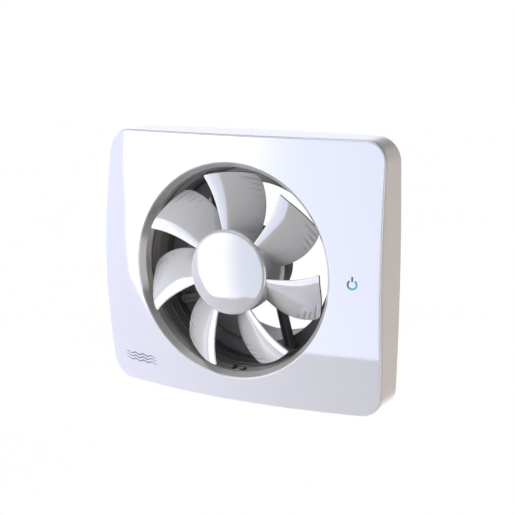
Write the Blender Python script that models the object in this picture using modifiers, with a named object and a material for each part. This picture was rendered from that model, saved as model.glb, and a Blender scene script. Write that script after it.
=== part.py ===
"""Wall-mounted axial bathroom extractor fan, built as an assembly of separate solids.

Frame: the origin is on the duct axis at the wall plane, +X points right as seen from the room,
+Y points into the wall along the duct and +Z points up.  Lengths are drawn in millimetres at
the drawing's own scale, and every mesh is brought to its real size in metres by MM.
"""
import math

import bmesh
import bpy
from mathutils import Matrix, Vector

REAL_WIDTH = 182.0        # the cover across its bowed sides, in real millimetres
DRAWN_WIDTH = 185.5       # the same width as it is drawn below
MM = 0.001 * REAL_WIDTH / DRAWN_WIDTH
GAP = 0.3                 # clearance left between touching pieces
RUNNING = 0.08            # radial clearance of a piece that turns on a pin or a shaft

# Front cover: outline at the front and at the wall, and the domed face between them
COVER_FRONT = {"width": 182.0, "height": 157.4, "corner": 12.6, "bow_x": 1.3, "bow_z": 0.47}
COVER_BACK = {"width": 182.5, "height": 158.8, "corner": 13.6, "bow_x": 1.5, "bow_z": 0.76}
COVER_REAR_Y = -0.4
COVER_WALL = 2.2
DOME_CROWN = 38.4         # depth the face would reach on the duct axis
DOME_FALL_X = 12.99e-4    # fall per square millimetre along X
DOME_FALL_Z = 14.68e-4
COVER_EDGE = 1.2          # round between the face and the side walls
CORNER_STEPS = 4          # segments in each corner and each side of the outline
SIDE_STEPS = 12

# Air path
MOUTH_R = 63.9            # opening in the face
LIP_R = 60.65             # straight throat of the cover's lip
LIP_FRONT_Y = -28.6
LIP_REAR_Y = -22.9
TUNNEL_FRONT_Y = LIP_REAR_Y + GAP
TUNNEL_FRONT_R = 59.7
TUNNEL_REAR_R = 58.4
TUNNEL_OUTER_R = 61.5
SHOULDER_Y = -1.8
SPIGOT_BORE_R = 49.2
SPIGOT_OUTER_R = 50.3
SPIGOT_END_Y = 34.2

# Wall tray of the housing
PLATE_FRONT_Y = -1.6
TRAY_INSET = COVER_WALL + 0.4
TRAY_WALL = 1.6
TRAY_FRONT_Y = -9.0
WALL_HOLES = [(76.0, 66.0), (76.0, -66.0), (-76.0, -66.0), (-76.0, 66.0)]
WALL_HOLE_R = 2.5
GROMMET_AT = (-75.0, 38.0)
GROMMET_HOLE_R = 7.5
GROMMET_NECK_R = 3.3

# Release latch at the bottom of the ring and the cover hooks at the top
LATCH_X = 0.9
NOTCH_HALF = 4.65
NOTCH_FRONT_Y = -26.2
NOTCH_REAR_Y = -19.3
LATCH_TAB_HALF = 1.7
LATCH_ARM_HALF = 3.0
LATCH_PIVOT = (-8.0, -63.6)      # y, z
LATCH_PIN_R = 0.9
HOOK_ANGLES = (-15.0, 15.0)      # clockwise from the top, seen from the room
HOOK_HALF_ANGLE = 7.2
HOOK_SLOT_Y = (-21.2, -17.6)
HOOK_THICKNESS = 1.6

# Impeller
BLADES = 7
BLADE_TIP_R = 58.0
BLADE_ROOT_R = 23.8
BLADE_THICKNESS = 1.2
HUB_FACE_Y = -39.2
HUB_SHOULDER_R = 24.5
HUB_SHOULDER_Y = -34.2
HUB_REAR_R = 25.2
HUB_REAR_Y = -12.0
HUB_WALL = 1.9
HUB_BOSS_R = 4.4
HUB_BOSS_Y = -28.0

# Motor
SHAFT_R = 1.5
SHAFT_FRONT_Y = -35.0
SHAFT_REAR_Y = 1.6
SHAFT_GROOVE_Y = (0.75, 1.15)
TUBE_R = 7.2
BEARING_R = 5.0
BEARING_WIDTH = 4.0
FRONT_SEAT_Y = (-26.6, -22.2)
REAR_SEAT_Y = (-3.7, 0.6)
SEAT_LIP = 1.1            # step that stops a bearing in its seat
SPRING_Y = (-22.42, -22.28)
CUP_R = 23.2
CUP_FRONT_Y = HUB_REAR_Y + 0.9
CUP_REAR_Y = 1.0
WEB_Y = (-9.4, -7.4)
STATOR_Y = (-26.0, -18.0)
STATOR_R = 17.4
STATOR_TEETH = 6
STATOR_HUB_R = 10.2
STATOR_NECK_HALF = 2.0
STATOR_SHOE = 1.8
MOTOR_BOARD_Y = (-5.2, -3.8)
MAGNET_R = (18.2, 20.4)
MAGNET_Y = (-29.0, -15.4)
YOKE_R = 22.0
YOKE_Y = (-31.6, -14.2)
CUP_WALL = 1.6
CAP_R = 22.4
CAP_REAR_Y = 5.0

# Arms that carry the motor: straight bars that pass the axis at a distance
ARMS = 4
ARM_FIRST_ANGLE = 165.4
ARM_OFFSET = 13.5
ARM_WIDTH = (4.1, 4.7)           # at the cup and at the foot
ARM_START = 17.0                 # inside the cup's wall
ARM_Y = (-9.2, -4.0)
ARM_GROOVE = (2.4, 1.7)          # width, depth
FOOT_CENTRE_R = 54.1
FOOT_R = 3.8
FOOT_Y = (-6.4, SHOULDER_Y - GAP)
FOOT_BORE_R = 1.5
SCREW_SLOT = 0.7                 # width of the slot in a screw's head
SINK_DEPTH = 0.9                 # sink for a countersunk head in the wall side of the tray

# Electronics in the tray
BOARD_X = (66.0, 85.0)
BOARD_Z = (-42.0, 42.0)
BOARD_Y = (-13.6, -12.0)
BOARD_POSTS = [(75.5, 36.0), (75.5, -36.0)]
BOARD_POST_R = 3.2
CABLE_Y = -12.0                  # depth at which the motor's lead leaves the tunnel
CABLE_R = 0.75
TOUCH_AT = (76.5, -0.8)
TERMINAL_BOX = ((-82.0, -12.0, -22.0), (-68.0, -2.0, 14.0))
TERMINAL_WAYS = 3
LID_MARGIN = 2.6                 # the terminal lid reaches this far above and below the block
LID_WALL = 1.2

# Touch symbol
SYMBOL_R = 3.0
SYMBOL_STROKE = 0.8
SYMBOL_OPENING = 38.0            # half angle left open at the top of the ring
SYMBOL_BAR = (1.0, 4.7)          # bottom and top of the bar above the ring's centre
SYMBOL_GAP = 0.15
GUIDE_REAR_Y = -26.6
GUIDE_DISC_Y = (-27.0, -25.4)
GUIDE_STEM_R = 2.2
GUIDE_STEM_Y = (-26.0, -16.6)


# ---------------------------------------------------------------- scene and materials

def clear_scene():
    for item in list(bpy.data.objects):
        bpy.data.objects.remove(item, do_unlink=True)


def new_collection(name):
    collection = bpy.data.collections.new(name)
    bpy.context.scene.collection.children.link(collection)
    return collection


def make_material(name, color, roughness, metallic=0.0):
    material = bpy.data.materials.new(name)
    material.use_nodes = True
    shader = material.node_tree.nodes["Principled BSDF"]
    shader.inputs["Base Color"].default_value = (*color, 1.0)
    shader.inputs["Roughness"].default_value = roughness
    shader.inputs["Metallic"].default_value = metallic
    material.diffuse_color = (*color, 1.0)
    return material


clear_scene()
PARTS = new_collection("bathroom_extractor_fan")
CUTTERS = new_collection("bathroom_extractor_fan_cutters")

COVER_WHITE = make_material("cover_white", (0.86, 0.86, 0.89), 0.18)
IMPELLER_WHITE = make_material("impeller_white", (0.83, 0.83, 0.86), 0.28)
HOUSING_GREY = make_material("housing_grey", (0.16, 0.16, 0.165), 0.5)
MOUNT_GREY = make_material("mount_grey", (0.045, 0.047, 0.045), 0.5)
CAP_BLACK = make_material("cap_black", (0.02, 0.02, 0.02), 0.45)
RUBBER_BLACK = make_material("rubber_black", (0.025, 0.025, 0.025), 0.85)
LIGHT_GUIDE = make_material("light_guide", (0.12, 0.55, 0.68), 0.3)
STEEL = make_material("steel", (0.62, 0.62, 0.63), 0.3, 1.0)
CORE_STEEL = make_material("core_steel", (0.28, 0.28, 0.3), 0.45, 1.0)
MAGNET = make_material("magnet", (0.09, 0.09, 0.1), 0.6, 0.3)
COPPER = make_material("copper", (0.72, 0.34, 0.16), 0.35, 1.0)
BOARD_GREEN = make_material("board_green", (0.03, 0.2, 0.09), 0.45)
PART_BLACK = make_material("part_black", (0.03, 0.03, 0.035), 0.4)
CAPACITOR = make_material("capacitor_sleeve", (0.05, 0.07, 0.2), 0.35)
SENSOR_WHITE = make_material("sensor_white", (0.8, 0.8, 0.78), 0.5)
SENSOR_CAN = make_material("sensor_can", (0.7, 0.7, 0.68), 0.3, 1.0)
LED = make_material("led", (0.75, 0.9, 0.95), 0.2)
TERMINAL_GREY = make_material("terminal_grey", (0.55, 0.56, 0.57), 0.45)
CABLE_GREY = make_material("cable_grey", (0.35, 0.35, 0.36), 0.55)


# ---------------------------------------------------------------- helpers

def link(item, material=None):
    """Put an object among the parts, or among the hidden cutters when it has no material."""
    if material is None:
        CUTTERS.objects.link(item)
        item.hide_render = True
        item.display_type = 'WIRE'
    else:
        PARTS.objects.link(item)
        item.data.materials.append(material)
    return item


def finish_mesh(name, work, material=None, smooth_angle=None):
    """Object from a bmesh, with its faces turned outwards."""
    mesh = bpy.data.meshes.new(name)
    bmesh.ops.recalc_face_normals(work, faces=work.faces)
    work.to_mesh(mesh)
    work.free()
    if smooth_angle:
        mesh.shade_smooth()
        mesh.set_sharp_from_angle(angle=math.radians(smooth_angle))
    return link(bpy.data.objects.new(name, mesh), material)


def modifier_boolean(target, tool, operation):
    modifier = target.modifiers.new(operation.lower(), 'BOOLEAN')
    modifier.operation = operation
    modifier.object = tool
    modifier.solver = 'EXACT'
    return target


def cut(target, tool):
    return modifier_boolean(target, tool, 'DIFFERENCE')


def fuse(target, tool):
    return modifier_boolean(target, tool, 'UNION')


def turned(name, profile, material=None, steps=48):
    """Solid turned about the duct axis.

    The profile holds (radius, y) points, front to back down its outer side and then back up
    its inner side.  It is closed unless its ends lie on the axis.
    """
    mesh = bpy.data.meshes.new(name)
    points = [Vector((radius, 0.0, -y)) * MM for radius, y in profile]
    edges = [(index, index + 1) for index in range(len(points) - 1)]
    on_axis = profile[0][0] == 0.0 and profile[-1][0] == 0.0
    if not on_axis:
        edges.append((len(points) - 1, 0))
    mesh.from_pydata(points, edges, [])
    item = link(bpy.data.objects.new(name, mesh), material)
    item.rotation_euler = (math.radians(90), 0.0, 0.0)
    screw = item.modifiers.new("turn", 'SCREW')
    screw.axis = 'Z'
    screw.steps = steps
    screw.render_steps = steps
    screw.use_merge_vertices = True
    screw.merge_threshold = 0.00001
    screw.use_smooth_shade = True
    return item


def cylinder(name, radius, y_range, at, material=None, segments=20):
    """Round bar along Y between two y values, at an (x, z) place."""
    front, back = y_range
    work = bmesh.new()
    bmesh.ops.create_cone(work, cap_ends=True, segments=segments, radius1=radius * MM,
                          radius2=radius * MM, depth=(back - front) * MM)
    item = finish_mesh(name, work, material, 35)
    item.rotation_euler = (math.radians(-90), 0.0, 0.0)
    item.location = Vector((at[0], (front + back) / 2, at[1])) * MM
    return item


def cylinder_x(name, radius, x_range, at, material=None, segments=16):
    """Round bar along X between two x values, at a (y, z) place."""
    low, high = x_range
    work = bmesh.new()
    bmesh.ops.create_cone(work, cap_ends=True, segments=segments, radius1=radius * MM,
                          radius2=radius * MM, depth=(high - low) * MM)
    item = finish_mesh(name, work, material, 35)
    item.rotation_euler = (0.0, math.radians(90), 0.0)
    item.location = Vector(((low + high) / 2, at[0], at[1])) * MM
    return item


def box(name, low, high, material=None, bevel=0.0):
    """Box between two corners, with its edges rounded when a bevel is given."""
    low = Vector(low)
    high = Vector(high)
    work = bmesh.new()
    bmesh.ops.create_cube(work, size=1.0)
    bmesh.ops.scale(work, vec=(high - low) * MM, verts=work.verts)
    item = finish_mesh(name, work, material)
    item.location = (low + high) / 2 * MM
    if bevel:
        rounding = item.modifiers.new("edges", 'BEVEL')
        rounding.width = bevel * MM
        rounding.segments = 1
    return item


def polar(radius, angle, y, centre=(0.0, 0.0)):
    """Point at an angle in degrees clockwise from the top, seen from the room."""
    turn = math.radians(angle)
    return Vector((centre[0] + radius * math.sin(turn), y, centre[1] + radius * math.cos(turn)))


def prism(name, outline, front, back, material=None, smooth_angle=None):
    """Closed outline of (x, z) points extruded from a back y value to a front one.

    The front is a y value, or a function of (x, z) that gives one.
    """
    work = bmesh.new()
    corners = [work.verts.new(Vector((x, back, z)) * MM) for x, z in outline]
    base = work.faces.new(corners)
    extruded = bmesh.ops.extrude_face_region(work, geom=[base])["geom"]
    for item in extruded:
        if isinstance(item, bmesh.types.BMVert):
            item.co.y = MM * (front(item.co.x / MM, item.co.z / MM) if callable(front) else front)
    return finish_mesh(name, work, material, smooth_angle)


def arc_outline(inner, outer, start, end, steps, centre=(0.0, 0.0)):
    """Outline of a ring sector between two angles clockwise from the top."""
    angles = [start + (end - start) * step / steps for step in range(steps + 1)]
    outline = [polar(outer, angle, 0.0, centre) for angle in angles]
    outline += [polar(inner, angle, 0.0, centre) for angle in reversed(angles)]
    return [(point.x, point.z) for point in outline]


def rectangle(low, high):
    return [(low[0], low[1]), (high[0], low[1]), (high[0], high[1]), (low[0], high[1])]


def cover_outline(width, height, corner, bow_x, bow_z, inset=0.0):
    """Rounded rectangle whose four sides bow outwards, as (x, z) points."""
    half_x = width / 2
    half_z = height / 2
    points = []
    for sign_x, sign_z, start in ((1, 1, 0), (-1, 1, 90), (-1, -1, 180), (1, -1, 270)):
        centre = Vector((sign_x * (half_x - corner), sign_z * (half_z - corner)))
        for step in range(CORNER_STEPS + 1):
            turn = math.radians(start + 90 * step / CORNER_STEPS)
            direction = Vector((math.cos(turn), math.sin(turn)))
            points.append(centre + direction * (corner - inset))
    outline = []
    per_corner = CORNER_STEPS + 1
    for index, point in enumerate(points):
        outline.append(point)
        if index % per_corner == per_corner - 1:
            following = points[(index + 1) % len(points)]
            for step in range(1, SIDE_STEPS):
                outline.append(point.lerp(following, step / SIDE_STEPS))
    bowed = []
    for x, z in outline:
        push_x = bow_x * (1 - (z / half_z) ** 2) * x / half_x
        push_z = bow_z * (1 - (x / half_x) ** 2) * z / half_z
        bowed.append((x + push_x, z + push_z))
    return bowed


def dome_y(x, z):
    """Depth of the cover's face."""
    return -(DOME_CROWN - DOME_FALL_X * x * x - DOME_FALL_Z * z * z)


def tube_curve(name, points, radius, material, samples_per_leg=5):
    """Round cable through the given points, smoothed and with closed ends."""
    knots = [Vector(point) for point in points]
    path = []
    for index in range(len(knots) - 1):
        before = knots[max(index - 1, 0)]
        start = knots[index]
        end = knots[index + 1]
        after = knots[min(index + 2, len(knots) - 1)]
        for step in range(samples_per_leg):
            t = step / samples_per_leg
            path.append(0.5 * (2 * start + (end - before) * t
                               + (2 * before - 5 * start + 4 * end - after) * t * t
                               + (3 * start - before - 3 * end + after) * t * t * t))
    path.append(knots[-1])
    curve = bpy.data.curves.new(name, 'CURVE')
    curve.dimensions = '3D'
    curve.bevel_depth = radius * MM
    curve.bevel_resolution = 2
    curve.use_fill_caps = True
    spline = curve.splines.new('POLY')
    spline.points.add(len(path) - 1)
    for node, point in zip(spline.points, path):
        node.co = (*(point * MM), 1.0)
    return link(bpy.data.objects.new(name, curve), material)


# ---------------------------------------------------------------- front cover

def cover_rings():
    """Rings of the cover's outer skin, from the throat out over the face to the wall edge."""
    front = cover_outline(**COVER_FRONT)
    front_inset = cover_outline(**COVER_FRONT, inset=COVER_EDGE)
    back = cover_outline(**COVER_BACK)
    count = len(front_inset)
    turns = [math.radians(45 + 360 * (index - CORNER_STEPS / 2) / count) for index in range(count)]
    headings = [Vector((math.cos(turn), math.sin(turn))) for turn in turns]
    rings = []
    for radius, y in ((LIP_R, LIP_REAR_Y), (LIP_R, LIP_FRONT_Y + 0.3), (LIP_R + 0.25, LIP_FRONT_Y - 0.4)):
        rings.append([(way.x * radius, y, way.y * radius) for way in headings])
    for back_off, drop in ((0.25, 0.4), (-0.15, 0.0)):
        radius = MOUTH_R - back_off
        rings.append([(way.x * radius, dome_y(way.x * radius, way.y * radius) + drop, way.y * radius)
                      for way in headings])
    for share in (0.33, 0.67, 1.0):
        ring = []
        for way, (edge_x, edge_z) in zip(headings, front_inset):
            start = way * MOUTH_R
            x = start.x + (edge_x - start.x) * share
            z = start.y + (edge_z - start.y) * share
            ring.append((x, dome_y(x, z), z))
        rings.append(ring)
    ring = []
    for (inset_x, inset_z), (edge_x, edge_z) in zip(front_inset, front):
        x = inset_x + (edge_x - inset_x) * 0.72
        z = inset_z + (edge_z - inset_z) * 0.72
        ring.append((x, dome_y(x, z) + COVER_EDGE * 0.28, z))
    rings.append(ring)
    rings.append([(x, dome_y(x, z) + COVER_EDGE, z) for x, z in front])
    rings.append([(x, COVER_REAR_Y, z) for x, z in back])
    return rings


def symbol_outlines(margin):
    """The ring and the bar of the touch symbol, widened by a margin."""
    half = SYMBOL_STROKE / 2 + margin
    middle = SYMBOL_R - SYMBOL_STROKE / 2
    end = SYMBOL_OPENING - math.degrees(margin / middle)
    ring = arc_outline(middle - half, middle + half, end, 360 - end, 20, TOUCH_AT)
    x, z = TOUCH_AT
    bar = rectangle((x - half, z + SYMBOL_BAR[0] - margin), (x + half, z + SYMBOL_BAR[1] + margin))
    return ring, bar


def front_cover():
    rings = cover_rings()
    count = len(rings[0])
    points = [point for ring in rings for point in ring]
    faces = []
    for row in range(len(rings) - 1):
        for column in range(count):
            after = (column + 1) % count
            faces.append((row * count + column, row * count + after,
                          (row + 1) * count + after, (row + 1) * count + column))
    mesh = bpy.data.meshes.new("front_cover")
    mesh.from_pydata([Vector(point) * MM for point in points], [], faces)
    mesh.flip_normals()
    mesh.shade_smooth()
    mesh.set_sharp_from_angle(angle=math.radians(50))
    cover = link(bpy.data.objects.new("front_cover", mesh), COVER_WHITE)
    shell = cover.modifiers.new("wall", 'SOLIDIFY')
    shell.thickness = COVER_WALL * MM
    shell.offset = -1.0
    shell.use_even_offset = True
    for index, outline in enumerate(symbol_outlines(SYMBOL_GAP)):
        cut(cover, prism(f"cut_symbol_{index + 1}", outline, -34.0, -25.0))
    cut(cover, box("cut_lip_notch", (LATCH_X - NOTCH_HALF, NOTCH_FRONT_Y, -65.0),
                   (LATCH_X + NOTCH_HALF, LIP_REAR_Y + 1.0, -58.0)))
    for index, angle in enumerate(HOOK_ANGLES):
        hook = prism(f"add_cover_hook_{index + 1}",
                     arc_outline(TUNNEL_OUTER_R + 0.5, TUNNEL_OUTER_R + 0.5 + HOOK_THICKNESS,
                                 angle - HOOK_HALF_ANGLE + 0.5, angle + HOOK_HALF_ANGLE - 0.5, 4),
                     LIP_REAR_Y - 1.2, HOOK_SLOT_Y[1] + 0.4)
        fuse(cover, hook)
    return cover


def touch_light_guide():
    """Symbol-shaped window flush with the face, a disc behind it and a stem to the lamp."""
    ring, bar = symbol_outlines(0.0)
    guide = prism("touch_light_guide", ring, dome_y, GUIDE_REAR_Y, LIGHT_GUIDE)
    fuse(guide, prism("add_symbol_bar", bar, dome_y, GUIDE_REAR_Y))
    fuse(guide, cylinder("add_guide_disc", SYMBOL_R + 2.2, GUIDE_DISC_Y, TOUCH_AT, segments=24))
    fuse(guide, cylinder("add_guide_stem", GUIDE_STEM_R, GUIDE_STEM_Y, TOUCH_AT, segments=14))
    return guide


# ---------------------------------------------------------------- housing

def tray_outline(extra=0.0):
    return cover_outline(**COVER_BACK, inset=TRAY_INSET + extra)


def fan_housing():
    """Wall tray, impeller tunnel and duct spigot in one moulding."""
    tray = prism("fan_housing", tray_outline(), TRAY_FRONT_Y, 0.0, HOUSING_GREY, 35)
    cut(tray, prism("cut_tray_inside", tray_outline(TRAY_WALL), TRAY_FRONT_Y - 5.0, PLATE_FRONT_Y))
    cut(tray, cylinder("cut_duct_hole", (SPIGOT_BORE_R + SPIGOT_OUTER_R) / 2, (-5.0, 3.0), (0.0, 0.0),
                       segments=40))
    tunnel = turned("add_tunnel", [
        (TUNNEL_OUTER_R, TUNNEL_FRONT_Y), (TUNNEL_OUTER_R, SHOULDER_Y + 1.0),
        (SPIGOT_OUTER_R, SHOULDER_Y + 1.0), (SPIGOT_OUTER_R, SPIGOT_END_Y),
        (SPIGOT_BORE_R, SPIGOT_END_Y), (SPIGOT_BORE_R, 0.6), (SPIGOT_BORE_R + 0.7, -1.1),
        (SPIGOT_BORE_R + 2.4, SHOULDER_Y), (TUNNEL_REAR_R, SHOULDER_Y),
        (TUNNEL_FRONT_R, TUNNEL_FRONT_Y)], steps=56)
    fuse(tray, tunnel)
    for index, at in enumerate(BOARD_POSTS):
        fuse(tray, cylinder(f"add_board_post_{index + 1}", BOARD_POST_R, (BOARD_Y[1] + GAP, -0.8), at))
        cut(tray, cylinder(f"cut_board_post_{index + 1}", 1.5, (-20.0, -3.0), at, segments=12))
    pivot_y, pivot_z = LATCH_PIVOT
    for index, x in enumerate((LATCH_X - LATCH_ARM_HALF - 2.4, LATCH_X + LATCH_ARM_HALF + 0.5)):
        fuse(tray, box(f"add_latch_lug_{index + 1}", (x, pivot_y - 2.6, pivot_z - 2.6),
                       (x + 1.9, -0.8, -60.2)))
    cut(tray, cylinder_x("cut_latch_pin", LATCH_PIN_R + GAP,
                         (LATCH_X - LATCH_ARM_HALF - 2.0, LATCH_X + LATCH_ARM_HALF + 4.0), LATCH_PIVOT))
    cut(tray, box("cut_latch_notch", (LATCH_X - NOTCH_HALF, TUNNEL_FRONT_Y - 1.0, -63.0),
                  (LATCH_X + NOTCH_HALF, NOTCH_REAR_Y, -57.0)))
    for index, angle in enumerate(HOOK_ANGLES):
        cut(tray, prism(f"cut_hook_slot_{index + 1}",
                        arc_outline(56.0, 64.0, angle - HOOK_HALF_ANGLE, angle + HOOK_HALF_ANGLE, 4),
                        HOOK_SLOT_Y[0], HOOK_SLOT_Y[1]))
    for index, at in enumerate(WALL_HOLES):
        cut(tray, cylinder(f"cut_wall_hole_{index + 1}", WALL_HOLE_R, (-4.0, 1.0), at, segments=16))
    cut(tray, cylinder("cut_grommet_hole", GROMMET_HOLE_R, (-4.0, 1.0), GROMMET_AT, segments=24))
    for index in range(ARMS):
        at = foot_place(index)
        cut(tray, cylinder(f"cut_foot_hole_{index + 1}", 1.7, (-6.0, 2.0), at, segments=14))
        cut(tray, cylinder(f"cut_foot_sink_{index + 1}", 3.2, (-SINK_DEPTH, 2.0), at, segments=18))
    cut(tray, radial_cylinder("cut_cable_pass", 1.9, (56.0, 65.0), cable_angle(), CABLE_Y))
    return tray


def duct_seal_ring():
    """Rubber lip seal on the spigot."""
    seat = SPIGOT_OUTER_R + 0.15
    return turned("duct_seal_ring", [
        (seat + 1.2, 24.0), (seat + 2.2, 26.6), (seat + 1.0, 27.4), (seat + 0.9, 30.0),
        (seat, 30.0), (seat, 24.0)], RUBBER_BLACK, steps=40)


def cable_grommet():
    """Rubber sleeve in the cable hole of the wall tray, with a groove around the plate's edge."""
    hole = GROMMET_HOLE_R - GAP
    front = PLATE_FRONT_Y - GAP
    grommet = turned("cable_grommet", [
        (hole + 2.0, front - 1.6), (hole + 2.0, front), (hole, front), (hole, -0.1),
        (hole - 2.0, -0.1), (hole - 2.6, front - 1.0), (GROMMET_NECK_R, front - 3.4),
        (GROMMET_NECK_R + 1.2, front - 3.4)], RUBBER_BLACK, steps=24)
    grommet.location = Vector((GROMMET_AT[0], 0.0, GROMMET_AT[1])) * MM
    return grommet


# ---------------------------------------------------------------- release latch

def release_latch():
    """Sprung lever: a tab in the throat, an arm outside the tunnel and a pivot barrel."""
    pivot_y, pivot_z = LATCH_PIVOT
    latch = box("release_latch", (LATCH_X - LATCH_TAB_HALF, -25.8, -63.2),
                (LATCH_X + LATCH_TAB_HALF, NOTCH_REAR_Y - 0.5, -60.3), COVER_WHITE)
    fuse(latch, box("add_latch_arm", (LATCH_X - LATCH_ARM_HALF, -24.2, -64.4),
                    (LATCH_X + LATCH_ARM_HALF, pivot_y, -62.6)))
    fuse(latch, cylinder_x("add_latch_barrel", 1.9, (LATCH_X - LATCH_ARM_HALF, LATCH_X + LATCH_ARM_HALF),
                           (pivot_y, pivot_z)))
    cut(latch, cylinder_x("cut_latch_bore", LATCH_PIN_R + RUNNING, (LATCH_X - 6.0, LATCH_X + 6.0),
                          (pivot_y, pivot_z)))
    move_origin(latch, (LATCH_X, pivot_y, pivot_z))
    return latch


def latch_pin():
    reach = LATCH_ARM_HALF + 2.0 - GAP
    return cylinder_x("latch_pin", LATCH_PIN_R, (LATCH_X - reach, LATCH_X + reach), LATCH_PIVOT, STEEL, 12)


def move_origin(item, place):
    """Set the object's origin without moving its mesh."""
    target = Vector(place) * MM
    shift = item.matrix_basis.inverted() @ target
    item.data.transform(Matrix.Translation(-shift))
    item.location = item.matrix_basis @ shift


# ---------------------------------------------------------------- motor mount

def arm_axes(index):
    """Direction of an arm and of its offset from the axis, as (x, z) vectors."""
    angle = ARM_FIRST_ANGLE + 360 / ARMS * index
    along = polar(1.0, angle, 0.0)
    aside = polar(1.0, angle - 90, 0.0)
    return Vector((along.x, along.z)), Vector((aside.x, aside.z))


def foot_reach():
    """Distance along an arm at which its foot stands."""
    return math.sqrt(FOOT_CENTRE_R ** 2 - ARM_OFFSET ** 2)


def foot_place(index):
    along, aside = arm_axes(index)
    place = along * foot_reach() + aside * ARM_OFFSET
    return place.x, place.y


def arm_outline(index, widths, start, end):
    """Outline of a bar along an arm, with its widths at the start and at the end."""
    along, aside = arm_axes(index)
    corners = ((start, -widths[0] / 2), (end, -widths[1] / 2), (end, widths[1] / 2), (start, widths[0] / 2))
    places = [along * reach + aside * (ARM_OFFSET + side) for reach, side in corners]
    return [(place.x, place.y) for place in places]


def motor_mount():
    """Motor cup and bearing tube on four arms that stand on feet behind the impeller."""
    seat_r = BEARING_R + GAP
    cup_inner = CUP_R - CUP_WALL
    mount = turned("motor_mount", [
        (CUP_R, CUP_FRONT_Y), (CUP_R, CUP_REAR_Y), (cup_inner, CUP_REAR_Y), (cup_inner, WEB_Y[1]),
        (TUBE_R, WEB_Y[1]), (TUBE_R, REAR_SEAT_Y[1]), (seat_r, REAR_SEAT_Y[1]), (seat_r, REAR_SEAT_Y[0]),
        (seat_r - SEAT_LIP, REAR_SEAT_Y[0]), (seat_r - SEAT_LIP, FRONT_SEAT_Y[1]),
        (seat_r, FRONT_SEAT_Y[1]), (seat_r, FRONT_SEAT_Y[0]), (TUBE_R, FRONT_SEAT_Y[0]),
        (TUBE_R, WEB_Y[0]), (cup_inner, WEB_Y[0]), (cup_inner, CUP_FRONT_Y)], MOUNT_GREY, steps=32)
    for index in range(ARMS):
        arm = arm_outline(index, ARM_WIDTH, ARM_START, foot_reach())
        groove = arm_outline(index, (ARM_GROOVE[0], ARM_GROOVE[0]), CUP_R + 1.3, FOOT_CENTRE_R + 4.0)
        at = foot_place(index)
        fuse(mount, prism(f"add_arm_{index + 1}", arm, ARM_Y[0], ARM_Y[1]))
        fuse(mount, cylinder(f"add_foot_{index + 1}", FOOT_R, FOOT_Y, at))
        cut(mount, cylinder(f"cut_foot_{index + 1}", FOOT_BORE_R, (-6.0, 1.0), at, segments=12))
        cut(mount, prism(f"cut_arm_groove_{index + 1}", groove, ARM_Y[0] - 2.0, ARM_Y[0] + ARM_GROOVE[1]))
    cut(mount, turned("cut_cup_inside", [
        (cup_inner, WEB_Y[1] + 0.02), (cup_inner, CUP_REAR_Y + 1.0), (TUBE_R + 0.02, CUP_REAR_Y + 1.0),
        (TUBE_R + 0.02, WEB_Y[1] + 0.02)], steps=32))
    return mount


def mount_screw(index):
    """Countersunk screw from the wall side into a foot."""
    head_front = -SINK_DEPTH + GAP
    at = foot_place(index)
    name = f"mount_screw_{index + 1}"
    screw = cylinder(name, FOOT_BORE_R - GAP, (-5.4, head_front + 0.2), at, STEEL, 12)
    fuse(screw, cylinder(f"add_{name}_head", 2.8, (head_front, -0.1), at, segments=16))
    cut(screw, screw_slot(name, at, 2.0, (-0.35, 1.0)))
    return screw


def screw_slot(name, at, half_length, y_range):
    """Cutter for the slot across a screw's head."""
    half = SCREW_SLOT / 2
    return box(f"cut_{name}_slot", (at[0] - half_length, y_range[0], at[1] - half),
               (at[0] + half_length, y_range[1], at[1] + half))


def motor_rear_cap():
    """Lid over the rear of the motor cup, with a plug inside it and a ring around the shaft's end."""
    plug = CUP_R - CUP_WALL - GAP
    front = CUP_REAR_Y + GAP
    inside = CAP_REAR_Y - 1.8
    ring = TUBE_R + 1.0
    return turned("motor_rear_cap", [
        (0.0, inside), (ring, inside), (ring, front), (ring + 1.4, front), (ring + 1.4, inside),
        (plug - 1.4, inside), (plug - 1.4, front - 1.8), (plug, front - 1.8),
        (plug, front), (CAP_R, front), (CAP_R, CAP_REAR_Y - 0.8), (CAP_R - 0.8, CAP_REAR_Y),
        (0.0, CAP_REAR_Y)], CAP_BLACK, steps=28)


def motor_board():
    """Round drive board in the rear of the cup."""
    outer = CUP_R - CUP_WALL - 0.7
    inner = TUBE_R + 0.5
    front, back = MOTOR_BOARD_Y
    return turned("motor_board", [(outer, front), (outer, back), (inner, back), (inner, front)],
                  BOARD_GREEN, steps=32)


# ---------------------------------------------------------------- motor inside the hub

def stator_core():
    """Laminated core: a ring around the bearing tube with six T-shaped teeth."""
    shoe_r = STATOR_R - STATOR_SHOE
    neck_in = math.degrees(math.asin(STATOR_NECK_HALF / STATOR_HUB_R))
    neck_out = math.degrees(math.asin(STATOR_NECK_HALF / shoe_r))
    half_tooth = [(STATOR_HUB_R, neck_in), (shoe_r, neck_out), (shoe_r, 24.0),
                  (STATOR_R, 25.0), (STATOR_R, 8.0)]
    outline = []
    for tooth in range(STATOR_TEETH):
        centre = 360 / STATOR_TEETH * tooth
        outline += [polar(radius, centre - angle, 0.0) for radius, angle in half_tooth]
        outline += [polar(radius, centre + angle, 0.0) for radius, angle in reversed(half_tooth)]
    outline = [(point.x, point.z) for point in outline]
    core = prism("stator_core", outline, STATOR_Y[0], STATOR_Y[1], CORE_STEEL)
    cut(core, cylinder("cut_core_bore", TUBE_R + GAP, (-40.0, -5.0), (0.0, 0.0), segments=32))
    return core


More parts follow.
